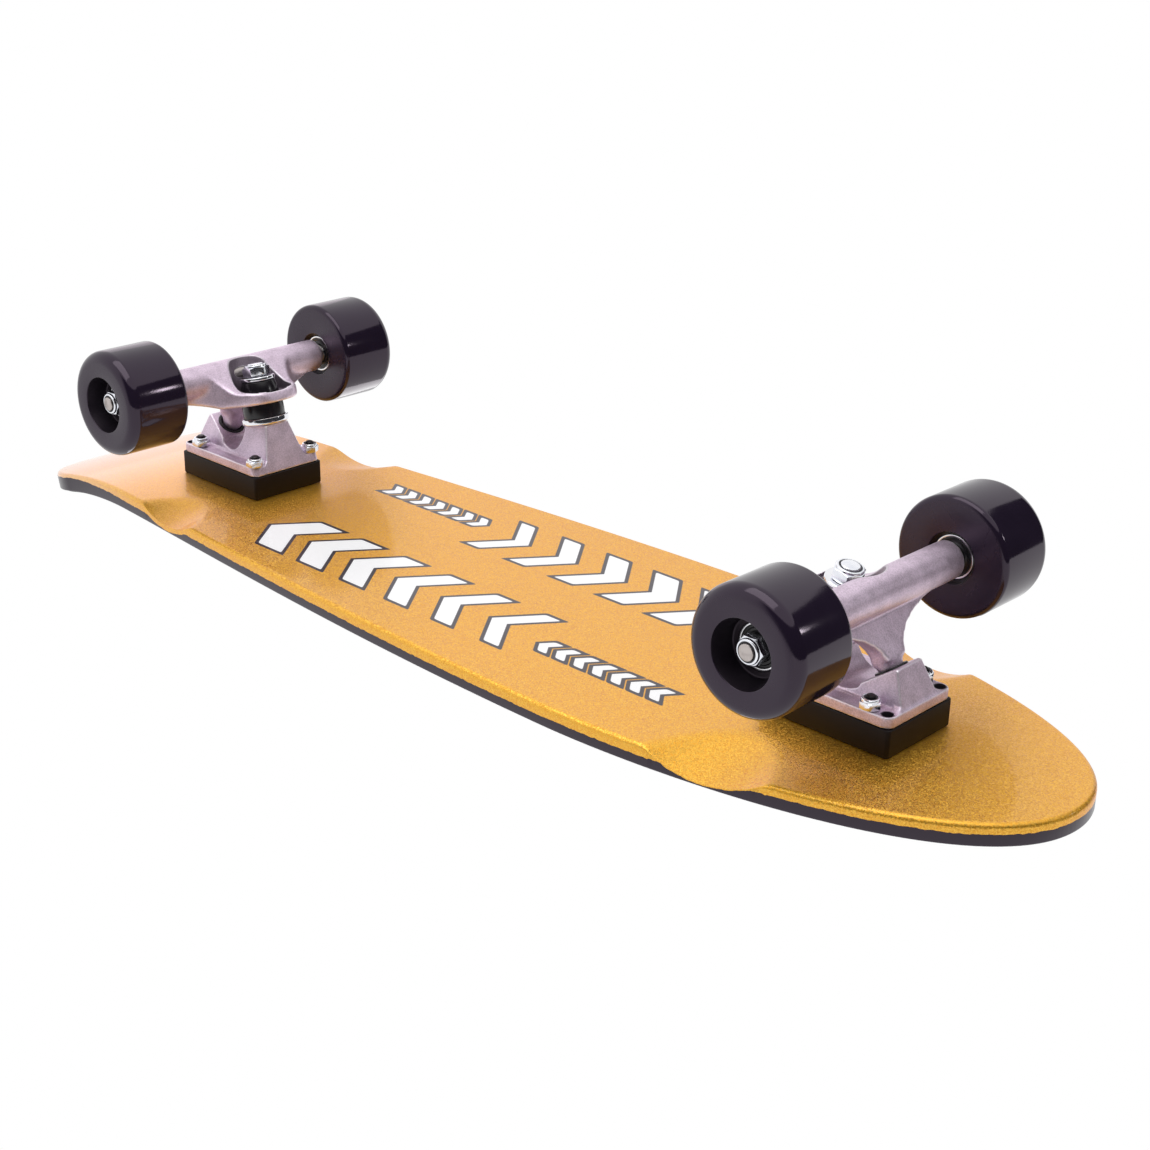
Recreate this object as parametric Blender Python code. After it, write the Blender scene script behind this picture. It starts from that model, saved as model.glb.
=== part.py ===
"""Cruiser skateboard: a kicktail deck on two sprung trucks with four wheels.

Metres. The board stands on its wheels: +X to the nose, +Y to the left, +Z up, with the origin on the
ground under the middle of its bounding box. A truck is drawn in its own frame: its origin is at the
middle of the mounting holes on the baseplate's underside, x runs away from the middle of the board
and z runs away from the deck.
"""

import math

import bmesh
import bpy
from mathutils import Matrix, Vector

# Clearances and shared shape values
SEAT_GAP = 0.0003
OVERSHOOT = 0.001
FAR = 0.08
MERGE_DISTANCE = 1e-6
QUARTER_PULL = 0.55
SWEEP_PULL = 0.6

# Deck outline, measured along the board's surface
TRUCK_SPACING = 0.4494
NOSE_REACH = 0.1249
TAIL_REACH = 0.1653
DECK_HALF_WIDTH = 0.0965
WIDEST_BEHIND_FRONT_TRUCK = 0.1073
NOSE_FULLNESS = 0.0734
FORWARD_SIDE_FULLNESS = 0.0757
REAR_SIDE_FULLNESS = 0.1974
TAIL_HALF_WIDTH = 0.0672
TAIL_SIDE_FULLNESS = 0.0674
TAIL_SIDE_WAIST = 0.0027
TAIL_CORNER_RADIUS = 0.0225
TAIL_BULGE = 0.0239
NOSE_STEPS = 11
SIDE_STEPS = 11
TAIL_CORNER_STEPS = 4
TAIL_END_STEPS = 4

# Deck section and kick
DECK_THICKNESS = 0.011
UNDERSIDE_ROUNDING = 0.006
TOPSIDE_ROUNDING = 0.001
UNDERSIDE_ROUNDING_STEPS = 3
TOPSIDE_ROUNDING_STEPS = 1
KICK_RADIUS = 0.297
FLAT_BEYOND_RISER = 0.002

# Grip tape
GRIP_THICKNESS = 0.0009
GRIP_MARGIN = 0.0025

# Wheel wells
WELL_INBOARD_OF_AXLE = 0.0235
WELL_HALF_LENGTH = 0.033
WELL_DEPTH = 0.0095
WELL_INNER_END = 0.047
WELL_DEEPEST = 0.0891
WELL_SEGMENTS = 48

# Mounting pattern and hardware
HOLE_SPACING_ALONG = 0.053975
HOLE_SPACING_ACROSS = 0.041275
OUTER_HOLE_SPACING = 0.0635
MOUNT_BOLT_RADIUS = 0.0024
MOUNT_BOLT_LENGTH = 0.0375
MOUNT_HEAD_RADIUS = 0.0047
MOUNT_HEAD_DEPTH = 0.0026
MOUNT_NUT_FLATS = 0.0095
MOUNT_NUT_HEX_HEIGHT = 0.0036
MOUNT_NUT_HEIGHT = 0.0051

# Riser and baseplate flange
RISER_HEIGHT = 0.01446
RISER_MARGIN = 0.0004
RISER_CORNER = 0.002
PLATE_INNER_REACH = 0.0319
PLATE_OUTER_REACH = 0.0407
PLATE_HALF_WIDTH = 0.0248
PLATE_THICKNESS = 0.0054
PLATE_CORNER = 0.0045
PLATE_EDGE_ROUNDING = 0.0008
PLATE_PANEL_DEPTH = 0.0006
PLATE_PANEL_INNER = 0.0155
PLATE_PANEL_OUTER = 0.0226
PLATE_PANEL_HALF_LENGTH = 0.0195
CORNER_STEPS = 3

# Baseplate blocks
KINGPIN_LEAN = math.radians(13.3)
KINGPIN_SEAT_X = -0.01185
KINGPIN_SEAT_HEIGHT = 0.02444
KINGPIN_BLOCK_SLOPE = math.radians(19.0)
KINGPIN_BLOCK_INNER_REACH = 0.0082
KINGPIN_BLOCK_TOP_HALF = 0.0084
PIVOT_BLOCK_SLOPE = math.radians(35.5)
PIVOT_BLOCK_TOP_LENGTH = 0.0016
BLOCK_SIDE_DRAFT = 0.28
BLOCK_WALL = 0.0012
SADDLE_HEIGHT = 0.0010
SADDLE_X = 0.006
FLARE_HEIGHT = 0.0065
FLARE_THICKNESS = 0.004
FLARE_REACH = 0.0213
FACE_SET_BACK = 0.0001
NUT_SPOT_RADIUS = 0.0061
HOLE_SPOT_RADIUS = 0.0046
SADDLE_STEPS = 6
FLARE_STEPS = 4

# Kingpin and what it clamps, listed from the baseplate outwards
KINGPIN_RADIUS = 0.00476
KINGPIN_LENGTH = 0.0516
KINGPIN_HEAD_FLATS = 0.0143
KINGPIN_HEAD_HEIGHT = 0.0065
KINGPIN_GRIP_IN_BLOCK = 0.0147
LOW_WASHER_RADIUS = 0.0142
LOW_WASHER_HEIGHT = 0.0040
LOW_WASHER_THICKNESS = 0.0013
LOW_BUSHING_RADIUS = 0.0123
LOW_BUSHING_LENGTH = 0.0124
YOKE_WEB_THICKNESS = 0.0029
TOP_BUSHING_BASE_RADIUS = 0.0115
TOP_BUSHING_TIP_RADIUS = 0.0099
TOP_BUSHING_LENGTH = 0.0084
TOP_WASHER_RADIUS = 0.0105
TOP_WASHER_THICKNESS = 0.0023
KINGPIN_NUT_FLATS = 0.0143
KINGPIN_NUT_HEX_HEIGHT = 0.0056
KINGPIN_NUT_HEIGHT = 0.0068
BUSHING_BARREL = 0.0003

# Pivot nose and cup
PIVOT_MOUTH_X = 0.0231
PIVOT_MOUTH_HEIGHT = 0.0164
PIVOT_LEAN = math.radians(-35.0)
PIVOT_BALL_DEPTH = 0.0032
PIVOT_BALL_RADIUS = 0.0048
CUP_WALL = 0.0020
CUP_RIM = 0.0009
NECK_RADIUS = 0.0068
NECK_LENGTH = 0.0150
NECK_FLARE = 0.0008
BALL_STEPS = 4

# Hanger
AXLE_X = 0.0118
AXLE_HEIGHT = 0.05114
TUBE_RADIUS = 0.0097
TUBE_HALF_LENGTH = 0.057
TUBE_END_ROUNDING = 0.0008
BOSS_RADIUS = 0.0066
YOKE_FRONT = 0.0195
YOKE_FRONT_HALF = 0.0135
YOKE_CORNER_BACK = 0.0165
YOKE_CORNER_HALF = 0.0226
YOKE_LIP_RISE = 0.0033
YOKE_LIP_SLANT = 0.0015
YOKE_SEAT_DEPTH = 0.0012
YOKE_HOLE_RADIUS = 0.0070
SKIRT_BACK = 0.0340
SKIRT_HALF = 0.046
SKIRT_FULLNESS = 0.012
POCKET_FRONT = 0.0165
POCKET_BACK = 0.0119
POCKET_HALF_WIDTH = 0.0175
WEB_TUBE_DROP = 0.0091
WEB_TUBE_OFFSET = 0.0012
WEB_HALF_WIDTH = 0.050
WEB_SWEEP = 0.012
WEB_TUBE_TOP = math.radians(108.0)
WEB_UP_NECK = 0.0038
NECK_SHOULDER = 0.0050
ARCH_CLEARANCE = 0.0015
ARCH_RISE = 0.0095
SKIRT_STEPS = 6
WEB_STEPS = 7
ARCH_STEPS = 6

# Axle, washers and nuts
AXLE_RADIUS = 0.00397
AXLE_END_CHAMFER = 0.0007
AXLE_PROJECTION = 0.0008
SPEED_WASHER_RADIUS = 0.0060
SPEED_WASHER_THICKNESS = 0.0009
AXLE_NUT_FLATS = 0.0127
AXLE_NUT_HEX_HEIGHT = 0.0052
AXLE_NUT_HEIGHT = 0.0066

# Bearings
BEARING_RADIUS = 0.011
BEARING_WIDTH = 0.007
BEARING_SPREAD = 0.010
BEARING_RACE = 0.0022
BEARING_SHIELD_DEPTH = 0.0005

# Wheels
WHEEL_RADIUS = 0.03074
WHEEL_WIDTH = 0.03856
WHEEL_CORE_INSET = 0.0023
WHEEL_OUTER_LIP = 0.0066
WHEEL_INNER_LIP = 0.0029
WHEEL_OUTER_RECESS = 0.0162
WHEEL_INNER_RECESS = 0.0129
WHEEL_CORE_RADIUS = 0.0143
WHEEL_SHOULDER_RADIUS = 0.0088
WHEEL_INNER_GAP = 0.00175
OUTER_LIP_STEPS = 3
INNER_LIP_STEPS = 2

# Facets round each kind of turned piece
WHEEL_SEGMENTS = 24
BEARING_SEGMENTS = 12
TUBE_SEGMENTS = 18
POCKET_SEGMENTS = 22
BUSHING_SEGMENTS = 16
CUP_SEGMENTS = 14
AXLE_SEGMENTS = 12
BOLT_SEGMENTS = 8
SMOOTH_ANGLE = math.radians(38.0)

# Places worked out from the sizes above
PATTERN_X = TRUCK_SPACING / 2
RISER_OUTER_REACH = PLATE_OUTER_REACH + RISER_MARGIN
RISER_INNER_REACH = PLATE_INNER_REACH + RISER_MARGIN
KICK_START = -(PATTERN_X + RISER_OUTER_REACH + FLAT_BEYOND_RISER)
RIDE_HEIGHT = WHEEL_RADIUS + AXLE_HEIGHT + RISER_HEIGHT
MOUNT_HOLE_RADIUS = MOUNT_BOLT_RADIUS + SEAT_GAP
MOUNT_HEAD_TOP = -RISER_HEIGHT - DECK_THICKNESS
KINGPIN_HOLE_RADIUS = KINGPIN_RADIUS + SEAT_GAP
AXLE_HOLE_RADIUS = AXLE_RADIUS + SEAT_GAP
AXLE = Vector((AXLE_X, 0.0, AXLE_HEIGHT))
KINGPIN_SEAT = Vector((KINGPIN_SEAT_X, 0.0, KINGPIN_SEAT_HEIGHT))
KINGPIN_TURN = Matrix.Rotation(KINGPIN_LEAN, 4, "Y")
KINGPIN_FRAME = Matrix.Translation(KINGPIN_SEAT) @ KINGPIN_TURN
PIVOT_TURN = Matrix.Rotation(PIVOT_LEAN, 4, "Y")
PIVOT_MOUTH = Vector((PIVOT_MOUTH_X, 0.0, PIVOT_MOUTH_HEIGHT))
PIVOT = PIVOT_MOUTH - PIVOT_TURN @ Vector((0.0, 0.0, PIVOT_BALL_DEPTH))
PIVOT_FRAME = Matrix.Translation(PIVOT) @ PIVOT_TURN
AXLE_FRAME = Matrix.Translation(AXLE) @ Matrix.Rotation(math.radians(-90.0), 4, "X")

# Distances along the kingpin from its seat
LOW_WASHER_START = SEAT_GAP
LOW_BUSHING_START = LOW_WASHER_START + LOW_WASHER_THICKNESS + SEAT_GAP
YOKE_SEAT = LOW_BUSHING_START + LOW_BUSHING_LENGTH + SEAT_GAP
YOKE_FLOOR = YOKE_SEAT + YOKE_WEB_THICKNESS
YOKE_UNDERSIDE = YOKE_SEAT - YOKE_SEAT_DEPTH
YOKE_LIP_TOP = YOKE_FLOOR + YOKE_LIP_RISE
TOP_BUSHING_START = YOKE_FLOOR + SEAT_GAP
TOP_WASHER_START = TOP_BUSHING_START + TOP_BUSHING_LENGTH + SEAT_GAP
KINGPIN_NUT_START = TOP_WASHER_START + TOP_WASHER_THICKNESS + SEAT_GAP
KINGPIN_HEAD_TOP = -KINGPIN_GRIP_IN_BLOCK - SEAT_GAP
STEER_CENTRE = KINGPIN_FRAME @ Vector((0.0, 0.0, (YOKE_SEAT + YOKE_FLOOR) / 2))

# Distances along the axle from the board's centre line
BOSS_END = TUBE_HALF_LENGTH + WHEEL_INNER_GAP + SPEED_WASHER_THICKNESS
INNER_WASHER_START = BOSS_END + SEAT_GAP
INNER_BEARING_START = INNER_WASHER_START + SPEED_WASHER_THICKNESS + SEAT_GAP
OUTER_BEARING_START = INNER_BEARING_START + BEARING_WIDTH + BEARING_SPREAD
OUTER_WASHER_START = OUTER_BEARING_START + BEARING_WIDTH + SEAT_GAP
AXLE_NUT_START = OUTER_WASHER_START + SPEED_WASHER_THICKNESS + SEAT_GAP
AXLE_END = AXLE_NUT_START + AXLE_NUT_HEIGHT + AXLE_PROJECTION
WHEEL_INNER_FACE = INNER_BEARING_START - WHEEL_CORE_INSET
WHEEL_MIDDLE = WHEEL_INNER_FACE + WHEEL_WIDTH / 2


def bezier(start, start_handle, end_handle, end, steps):
    """Points of a cubic curve after its start, in the plane."""
    points = []
    for step in range(1, steps + 1):
        t = step / steps
        s = 1.0 - t
        weights = (s ** 3, 3 * s * s * t, 3 * s * t * t, t ** 3)
        ends = (start, start_handle, end_handle, end)
        points.append(sum((w * Vector(p) for w, p in zip(weights, ends)), Vector((0.0, 0.0))))
    return points


def sweep(level_end, upright_end, steps):
    """Points of a curve that leaves its first end level and stands upright at its last end."""
    start = Vector(level_end)
    end = Vector(upright_end)
    pull = (end - start) * SWEEP_PULL
    return bezier(start, start + Vector((pull.x, 0.0)), end - Vector((0.0, pull.y)), end, steps)


def arc(centre, radius, start, end, steps):
    """Points of a round stretch in the plane, with both ends."""
    points = []
    for step in range(steps + 1):
        angle = start + (end - start) * step / steps
        spoke = Vector((math.cos(angle), math.sin(angle)))
        points.append(Vector(centre) + radius * spoke)
    return points


def rounded_rectangle(low, high, radius, steps=CORNER_STEPS):
    """Corner points and arcs of a rectangle from its low to its high corner."""
    quarter = math.pi / 2
    corners = (
        (high[0] - radius, high[1] - radius),
        (low[0] + radius, high[1] - radius),
        (low[0] + radius, low[1] + radius),
        (high[0] - radius, low[1] + radius),
    )
    points = []
    for turn, corner in enumerate(corners):
        points += arc(corner, radius, turn * quarter, (turn + 1) * quarter, steps)
    return points


def finish(bm, name):
    """The bmesh as a mesh with its faces pointing out, shaded smooth between its sharp edges."""
    bmesh.ops.recalc_face_normals(bm, faces=bm.faces)
    mesh = bpy.data.meshes.new(name)
    bm.to_mesh(mesh)
    bm.free()
    return mesh


def loft(rings, name, cap=None):
    """A closed skin over rings of equally many points, with flat ends or the caps that cap makes."""
    bm = bmesh.new()
    rows = [[bm.verts.new(point) for point in ring] for ring in rings]
    for low, high in zip(rows, rows[1:]):
        for index in range(len(low)):
            bm.faces.new((low[index - 1], low[index], high[index], high[index - 1]))
    for row in (rows[0], rows[-1]):
        if cap:
            cap(bm, row)
        else:
            bm.faces.new(row)
    return finish(bm, name)


def prism(outline, low, high, name, frame=None):
    """An outline of (x, y) points carried from z = low to z = high, then placed by frame."""
    rings = [[Vector((point[0], point[1], z)) for point in outline] for z in (low, high)]
    mesh = loft(rings, name)
    if frame:
        mesh.transform(frame)
    return mesh


def is_disc_middle(vert):
    """Whether a vertex is the middle of a flat disc, so that the disc can be one face."""
    on_axis = vert.co.xy.length < MERGE_DISTANCE
    rises = [abs(edge.other_vert(vert).co.z - vert.co.z) for edge in vert.link_edges]
    return on_axis and max(rises) < MERGE_DISTANCE


def lathe(profile, segments, name, frame=None):
    """A profile of (radius, height) points turned about Z, closed as a ring where it starts off it."""
    bm = bmesh.new()
    verts = [bm.verts.new((radius, 0.0, height)) for radius, height in profile]
    edges = [bm.edges.new(pair) for pair in zip(verts, verts[1:])]
    if profile[0][0] > 0.0:
        edges.append(bm.edges.new((verts[-1], verts[0])))
    turn = {"axis": (0.0, 0.0, 1.0), "cent": (0.0, 0.0, 0.0), "angle": math.tau}
    bmesh.ops.spin(bm, geom=verts + edges, steps=segments, use_merge=True, **turn)
    bmesh.ops.remove_doubles(bm, verts=bm.verts, dist=MERGE_DISTANCE)
    bmesh.ops.dissolve_verts(bm, verts=[vert for vert in bm.verts if is_disc_middle(vert)])
    mesh = finish(bm, name)
    if frame:
        mesh.transform(frame)
    return mesh


def rod(radius, low, high, segments, name, frame=None):
    """A plain round bar along Z."""
    return lathe([(0.0, low), (radius, low), (radius, high), (0.0, high)], segments, name, frame)


def stepped_bore(radii, heights, segments, frame):
    """A cutter along Z with one radius up to the middle height and another beyond it."""
    low, middle, high = heights
    first, second = radii
    profile = [(0.0, low), (first, low), (first, middle), (second, middle), (second, high), (0.0, high)]
    return lathe(profile, segments, "bore", frame)


def hexagon(flats, low, high, name):
    """A six-sided bar along Z, given the width across its flats."""
    return rod(flats / 2 / math.cos(math.pi / 6), low, high, 6, name)


def shaped(base, *steps):
    """The mesh left after each (operation, tool mesh) step is applied to the base mesh in turn."""
    body = bpy.data.objects.new("body", base)
    bpy.context.scene.collection.objects.link(body)
    helpers = [body]
    for operation, tool in steps:
        helper = bpy.data.objects.new("tool", tool)
        bpy.context.scene.collection.objects.link(helper)
        helpers.append(helper)
        modifier = body.modifiers.new(operation, "BOOLEAN")
        modifier.operation = operation
        modifier.solver = "EXACT"
        modifier.object = helper
    graph = bpy.context.evaluated_depsgraph_get()
    result = bpy.data.meshes.new_from_object(body.evaluated_get(graph))
    result.name = base.name
    for helper in helpers:
        bpy.data.objects.remove(helper)
    return result


def paint(name, color, roughness, metallic=0.0):
    """A plain material of one colour."""
    material = bpy.data.materials.new(name)
    material.use_nodes = True
    shader = material.node_tree.nodes["Principled BSDF"]
    shader.inputs["Base Color"].default_value = (*color, 1.0)
    shader.inputs["Roughness"].default_value = roughness
    shader.inputs["Metallic"].default_value = metallic
    return material


def empty(name, parent, frame):
    """A frame for other objects to hang on."""
    holder = bpy.data.objects.new(name, None)
    bpy.context.scene.collection.objects.link(holder)
    holder.parent = parent
    holder.matrix_local = frame
    return holder


def place(name, mesh, material, parent, frame=None):
    """One piece of the board: an object with its mesh, its look and its place under its parent."""
    mesh.shade_smooth()
    mesh.set_sharp_from_angle(angle=SMOOTH_ANGLE)
    if not mesh.materials:
        mesh.materials.append(material)
    piece = bpy.data.objects.new(name, mesh)
    bpy.context.scene.collection.objects.link(piece)
    piece.parent = parent
    piece.matrix_local = frame or Matrix.Identity(4)
    return piece


def half_outline():
    """The deck's left edge from the nose tip to the tail tip, laid flat."""
    nose = Vector((PATTERN_X + NOSE_REACH, 0.0))
    widest = Vector((PATTERN_X - WIDEST_BEHIND_FRONT_TRUCK, DECK_HALF_WIDTH))
    tail_tip = Vector((-PATTERN_X - TAIL_REACH, 0.0))
    tail_corner = Vector((tail_tip.x + TAIL_BULGE, TAIL_HALF_WIDTH - TAIL_CORNER_RADIUS))
    side_end = Vector((tail_corner.x + TAIL_CORNER_RADIUS, TAIL_HALF_WIDTH))
    bend = QUARTER_PULL * TAIL_CORNER_RADIUS
    points = [nose]
    points += bezier(
        nose,
        nose + Vector((0.0, NOSE_FULLNESS)),
        widest + Vector((FORWARD_SIDE_FULLNESS, 0.0)),
        widest,
        NOSE_STEPS,
    )
    points += bezier(
        widest,
        widest - Vector((REAR_SIDE_FULLNESS, 0.0)),
        side_end + Vector((TAIL_SIDE_FULLNESS, -TAIL_SIDE_WAIST)),
        side_end,
        SIDE_STEPS,
    )
    points += bezier(
        side_end,
        side_end - Vector((bend, 0.0)),
        tail_corner + Vector((0.0, bend)),
        tail_corner,
        TAIL_CORNER_STEPS,
    )
    points += bezier(
        tail_corner,
        tail_corner - Vector((TAIL_BULGE, tail_corner.y / 2)) / 2,
        tail_tip + Vector((0.0, tail_corner.y / 2)),
        tail_tip,
        TAIL_END_STEPS,
    )
    return points


def outline_inset(distance, height):
    """The whole outline, moved in from the edge, at one height in the flat deck."""
    half = half_outline()
    mirrored = [Vector((point.x, -point.y)) for point in half[-2:0:-1]]
    loop = half + mirrored
    ring = []
    for index, point in enumerate(loop):
        along = (loop[(index + 1) % len(loop)] - loop[index - 1]).normalized()
        outward = Vector((along.y, -along.x))
        inner = point - outward * distance
        ring.append(Vector((inner.x, inner.y, height)))
    return ring


def cap_across(bm, row):
    """Strips from the left edge to the right edge, so that the cap can follow the kick."""
    count = len(row)
    for index in range(count // 2):
        corners = [row[index], row[index + 1], row[count - index - 1], row[-index]]
        unique = list(dict.fromkeys(corners))
        bm.faces.new(unique)


def kicked(mesh):
    """The flat mesh with everything behind the kick's start rolled up round the kick's radius."""
    for vertex in mesh.vertices:
        past = KICK_START - vertex.co.x
        if past <= 0.0:
            continue
        angle = past / KICK_RADIUS
        reach = KICK_RADIUS - vertex.co.z
        vertex.co.x = KICK_START - reach * math.sin(angle)
        vertex.co.z = KICK_RADIUS - reach * math.cos(angle)
    return mesh


def truck_frame(end):
    """The truck's place under the board frame: end is 1 at the front and -1 at the rear."""
    turn = Matrix.Rotation(math.pi, 4, "X" if end > 0 else "Y")
    return Matrix.Translation((end * PATTERN_X, 0.0, -RISER_HEIGHT)) @ turn


def bolt_places():
    """The four used holes of one truck, in its own frame."""
    half_x = HOLE_SPACING_ALONG / 2
    half_y = HOLE_SPACING_ACROSS / 2
    return [Vector((x, y, 0.0)) for x in (-half_x, half_x) for y in (-half_y, half_y)]


def outer_hole_places():
    """The spare pair of holes at the pivot end, for the longer mounting pattern."""
    x = OUTER_HOLE_SPACING - HOLE_SPACING_ALONG / 2
    return [Vector((x, y, 0.0)) for y in (-HOLE_SPACING_ACROSS / 2, HOLE_SPACING_ACROSS / 2)]


def mount_bolt():
    """The countersunk bolt, from its flush head on the deck's top towards the truck."""
    end = MOUNT_HEAD_TOP + MOUNT_BOLT_LENGTH
    profile = [
        (0.0, MOUNT_HEAD_TOP),
        (MOUNT_HEAD_RADIUS, MOUNT_HEAD_TOP),
        (MOUNT_BOLT_RADIUS, MOUNT_HEAD_TOP + MOUNT_HEAD_DEPTH),
        (MOUNT_BOLT_RADIUS, end),
        (0.0, end),
    ]
    return lathe(profile, BOLT_SEGMENTS, "mounting_bolt")


def deck_bolt_hole():
    """The deck's countersunk hole for one bolt, drawn on past both faces."""
    slope = (MOUNT_HEAD_RADIUS - MOUNT_BOLT_RADIUS) / MOUNT_HEAD_DEPTH
    start = MOUNT_HEAD_TOP - OVERSHOOT
    end = -RISER_HEIGHT + OVERSHOOT
    profile = [
        (0.0, start),
        (MOUNT_HEAD_RADIUS + SEAT_GAP + slope * OVERSHOOT, start),
        (MOUNT_HOLE_RADIUS, MOUNT_HEAD_TOP + MOUNT_HEAD_DEPTH),
        (MOUNT_HOLE_RADIUS, end),
        (0.0, end),
    ]
    return lathe(profile, BOLT_SEGMENTS, "deck_bolt_hole")


def grip_bolt_hole():
    """The grip tape's plain hole for one bolt's head."""
    start = MOUNT_HEAD_TOP - GRIP_THICKNESS - SEAT_GAP - OVERSHOOT
    return rod(MOUNT_HEAD_RADIUS + SEAT_GAP, start, MOUNT_HEAD_TOP, BOLT_SEGMENTS, "grip_bolt_hole")


def bolt_hole_cuts(hole_maker):
    """One cutter in board coordinates for each of the eight mounting bolts."""
    cuts = []
    for end in (1, -1):
        for hole in bolt_places():
            cutter = hole_maker()
            cutter.transform(truck_frame(end) @ Matrix.Translation(hole))
            cuts.append(("DIFFERENCE", cutter))
    return cuts


def well_cuts():
    """Four leaning rollers that scoop the wheel wells out of the underside."""
    radius = (WELL_HALF_LENGTH ** 2 + WELL_DEPTH ** 2) / (2 * WELL_DEPTH)
    lean = math.atan2(WELL_DEPTH, WELL_DEEPEST - WELL_INNER_END)
    cuts = []
    for end in (1, -1):
        x = end * (PATTERN_X + AXLE_X - WELL_INBOARD_OF_AXLE)
        for side in (1, -1):
            turn = Matrix.Rotation(side * (lean - math.pi / 2), 4, "X")
            axis_start = Vector((x, side * WELL_INNER_END, -radius / math.cos(lean)))
            frame = Matrix.Translation(axis_start) @ turn
            cuts.append(("DIFFERENCE", rod(radius, -OVERSHOOT, FAR, WELL_SEGMENTS, "well", frame)))
    return cuts


def deck():
    quarter = math.pi / 2
    rings = []
    for step in range(UNDERSIDE_ROUNDING_STEPS + 1):
        angle = quarter * step / UNDERSIDE_ROUNDING_STEPS
        inset = UNDERSIDE_ROUNDING * (1.0 - math.sin(angle))
        rings.append(outline_inset(inset, UNDERSIDE_ROUNDING * (1.0 - math.cos(angle))))
    for step in range(TOPSIDE_ROUNDING_STEPS + 1):
        angle = quarter * step / TOPSIDE_ROUNDING_STEPS
        inset = TOPSIDE_ROUNDING * (1.0 - math.cos(angle))
        height = DECK_THICKNESS - TOPSIDE_ROUNDING * (1.0 - math.sin(angle))
        rings.append(outline_inset(inset, height))
    plank = loft(rings, "deck", cap_across)
    return kicked(shaped(plank, *well_cuts(), *bolt_hole_cuts(deck_bolt_hole)))


def grip_tape():
    low = DECK_THICKNESS + SEAT_GAP
    rings = [outline_inset(TOPSIDE_ROUNDING + GRIP_MARGIN, z) for z in (low, low + GRIP_THICKNESS)]
    return kicked(shaped(loft(rings, "grip_tape", cap_across), *bolt_hole_cuts(grip_bolt_hole)))


def riser():
    half_width = PLATE_HALF_WIDTH + RISER_MARGIN
    outline = rounded_rectangle(
        (-RISER_INNER_REACH, -half_width), (RISER_OUTER_REACH, half_width), RISER_CORNER
    )
    low = -RISER_HEIGHT + SEAT_GAP
    cuts = []
    for hole in bolt_places() + outer_hole_places():
        frame = Matrix.Translation(hole)
        bore = rod(MOUNT_HOLE_RADIUS, low - OVERSHOOT, OVERSHOOT, BOLT_SEGMENTS, "bore", frame)
        cuts.append(("DIFFERENCE", bore))
    return shaped(prism(outline, low, -SEAT_GAP, "riser"), *cuts)


def flange():
    """The baseplate's flat plate: its kingpin end leans like the block, its other top edges are rounded."""
    rings = []
    shoulder = PLATE_THICKNESS - PLATE_EDGE_ROUNDING
    for inset, z in ((0.0, 0.0), (0.0, shoulder), (PLATE_EDGE_ROUNDING, PLATE_THICKNESS)):
        low = (-PLATE_INNER_REACH + z * math.tan(KINGPIN_BLOCK_SLOPE), -PLATE_HALF_WIDTH + inset)
        high = (PLATE_OUTER_REACH - inset, PLATE_HALF_WIDTH - inset)
        outline = rounded_rectangle(low, high, PLATE_CORNER - inset)
        rings.append([Vector((point.x, point.y, z)) for point in outline])
    return loft(rings, "baseplate")


def drafted_block(profile, top_half, top_height, name):
    """A side profile of (x, z) points carried across the truck, widening towards the flange."""
    rings = []
    for side in (1, -1):
        ring = []
        for x, z in profile:
            half = top_half + (top_height - z) * BLOCK_SIDE_DRAFT
            ring.append(Vector((x, side * half, z)))
        rings.append(ring)
    return loft(rings, name)


def kingpin_block():
    """The block under the kingpin: its end face leans in from the flange's end to the seat."""
    foot = Vector((-PLATE_INNER_REACH + FACE_SET_BACK, 0.0))
    slope = math.tan(KINGPIN_BLOCK_SLOPE)
    fall = math.tan(KINGPIN_LEAN)
    seat_level = KINGPIN_SEAT_HEIGHT + KINGPIN_SEAT_X * fall
    top = (seat_level - foot.x * fall) / (1.0 + slope * fall)
    inner = KINGPIN_FRAME @ Vector((KINGPIN_BLOCK_INNER_REACH, 0.0, 0.0))
    saddle = (SADDLE_X, PLATE_THICKNESS + SADDLE_HEIGHT)
    profile = [(foot.x + OVERSHOOT * slope, OVERSHOOT), (foot.x + top * slope, top)]
    profile += reversed(sweep(saddle, (inner.x, inner.z), SADDLE_STEPS))
    profile += [saddle, (saddle[0], OVERSHOOT)]
    return drafted_block(profile, KINGPIN_BLOCK_TOP_HALF, top, "kingpin_block")


def pivot_block():
    """The block round the pivot cup: its mouth faces the kingpin and its end face leans in."""
    bore = cup_outer_radius() + SEAT_GAP + BLOCK_WALL
    low_lip = PIVOT_FRAME @ Vector((-bore, 0.0, PIVOT_BALL_DEPTH))
    high_lip = PIVOT_FRAME @ Vector((bore, 0.0, PIVOT_BALL_DEPTH))
    saddle = (SADDLE_X - OVERSHOOT, PLATE_THICKNESS + SADDLE_HEIGHT)
    top = (high_lip.x + PIVOT_BLOCK_TOP_LENGTH, high_lip.z)
    profile = [(saddle[0], OVERSHOOT), saddle]
    profile += sweep(saddle, (low_lip.x, low_lip.z), SADDLE_STEPS)
    profile += [(high_lip.x, high_lip.z), top]
    foot = (PLATE_OUTER_REACH - PLATE_EDGE_ROUNDING, PLATE_THICKNESS - PLATE_EDGE_ROUNDING)
    profile += [foot, (foot[0], OVERSHOOT)]
    return drafted_block(profile, bore, high_lip.z, "pivot_block")


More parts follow.
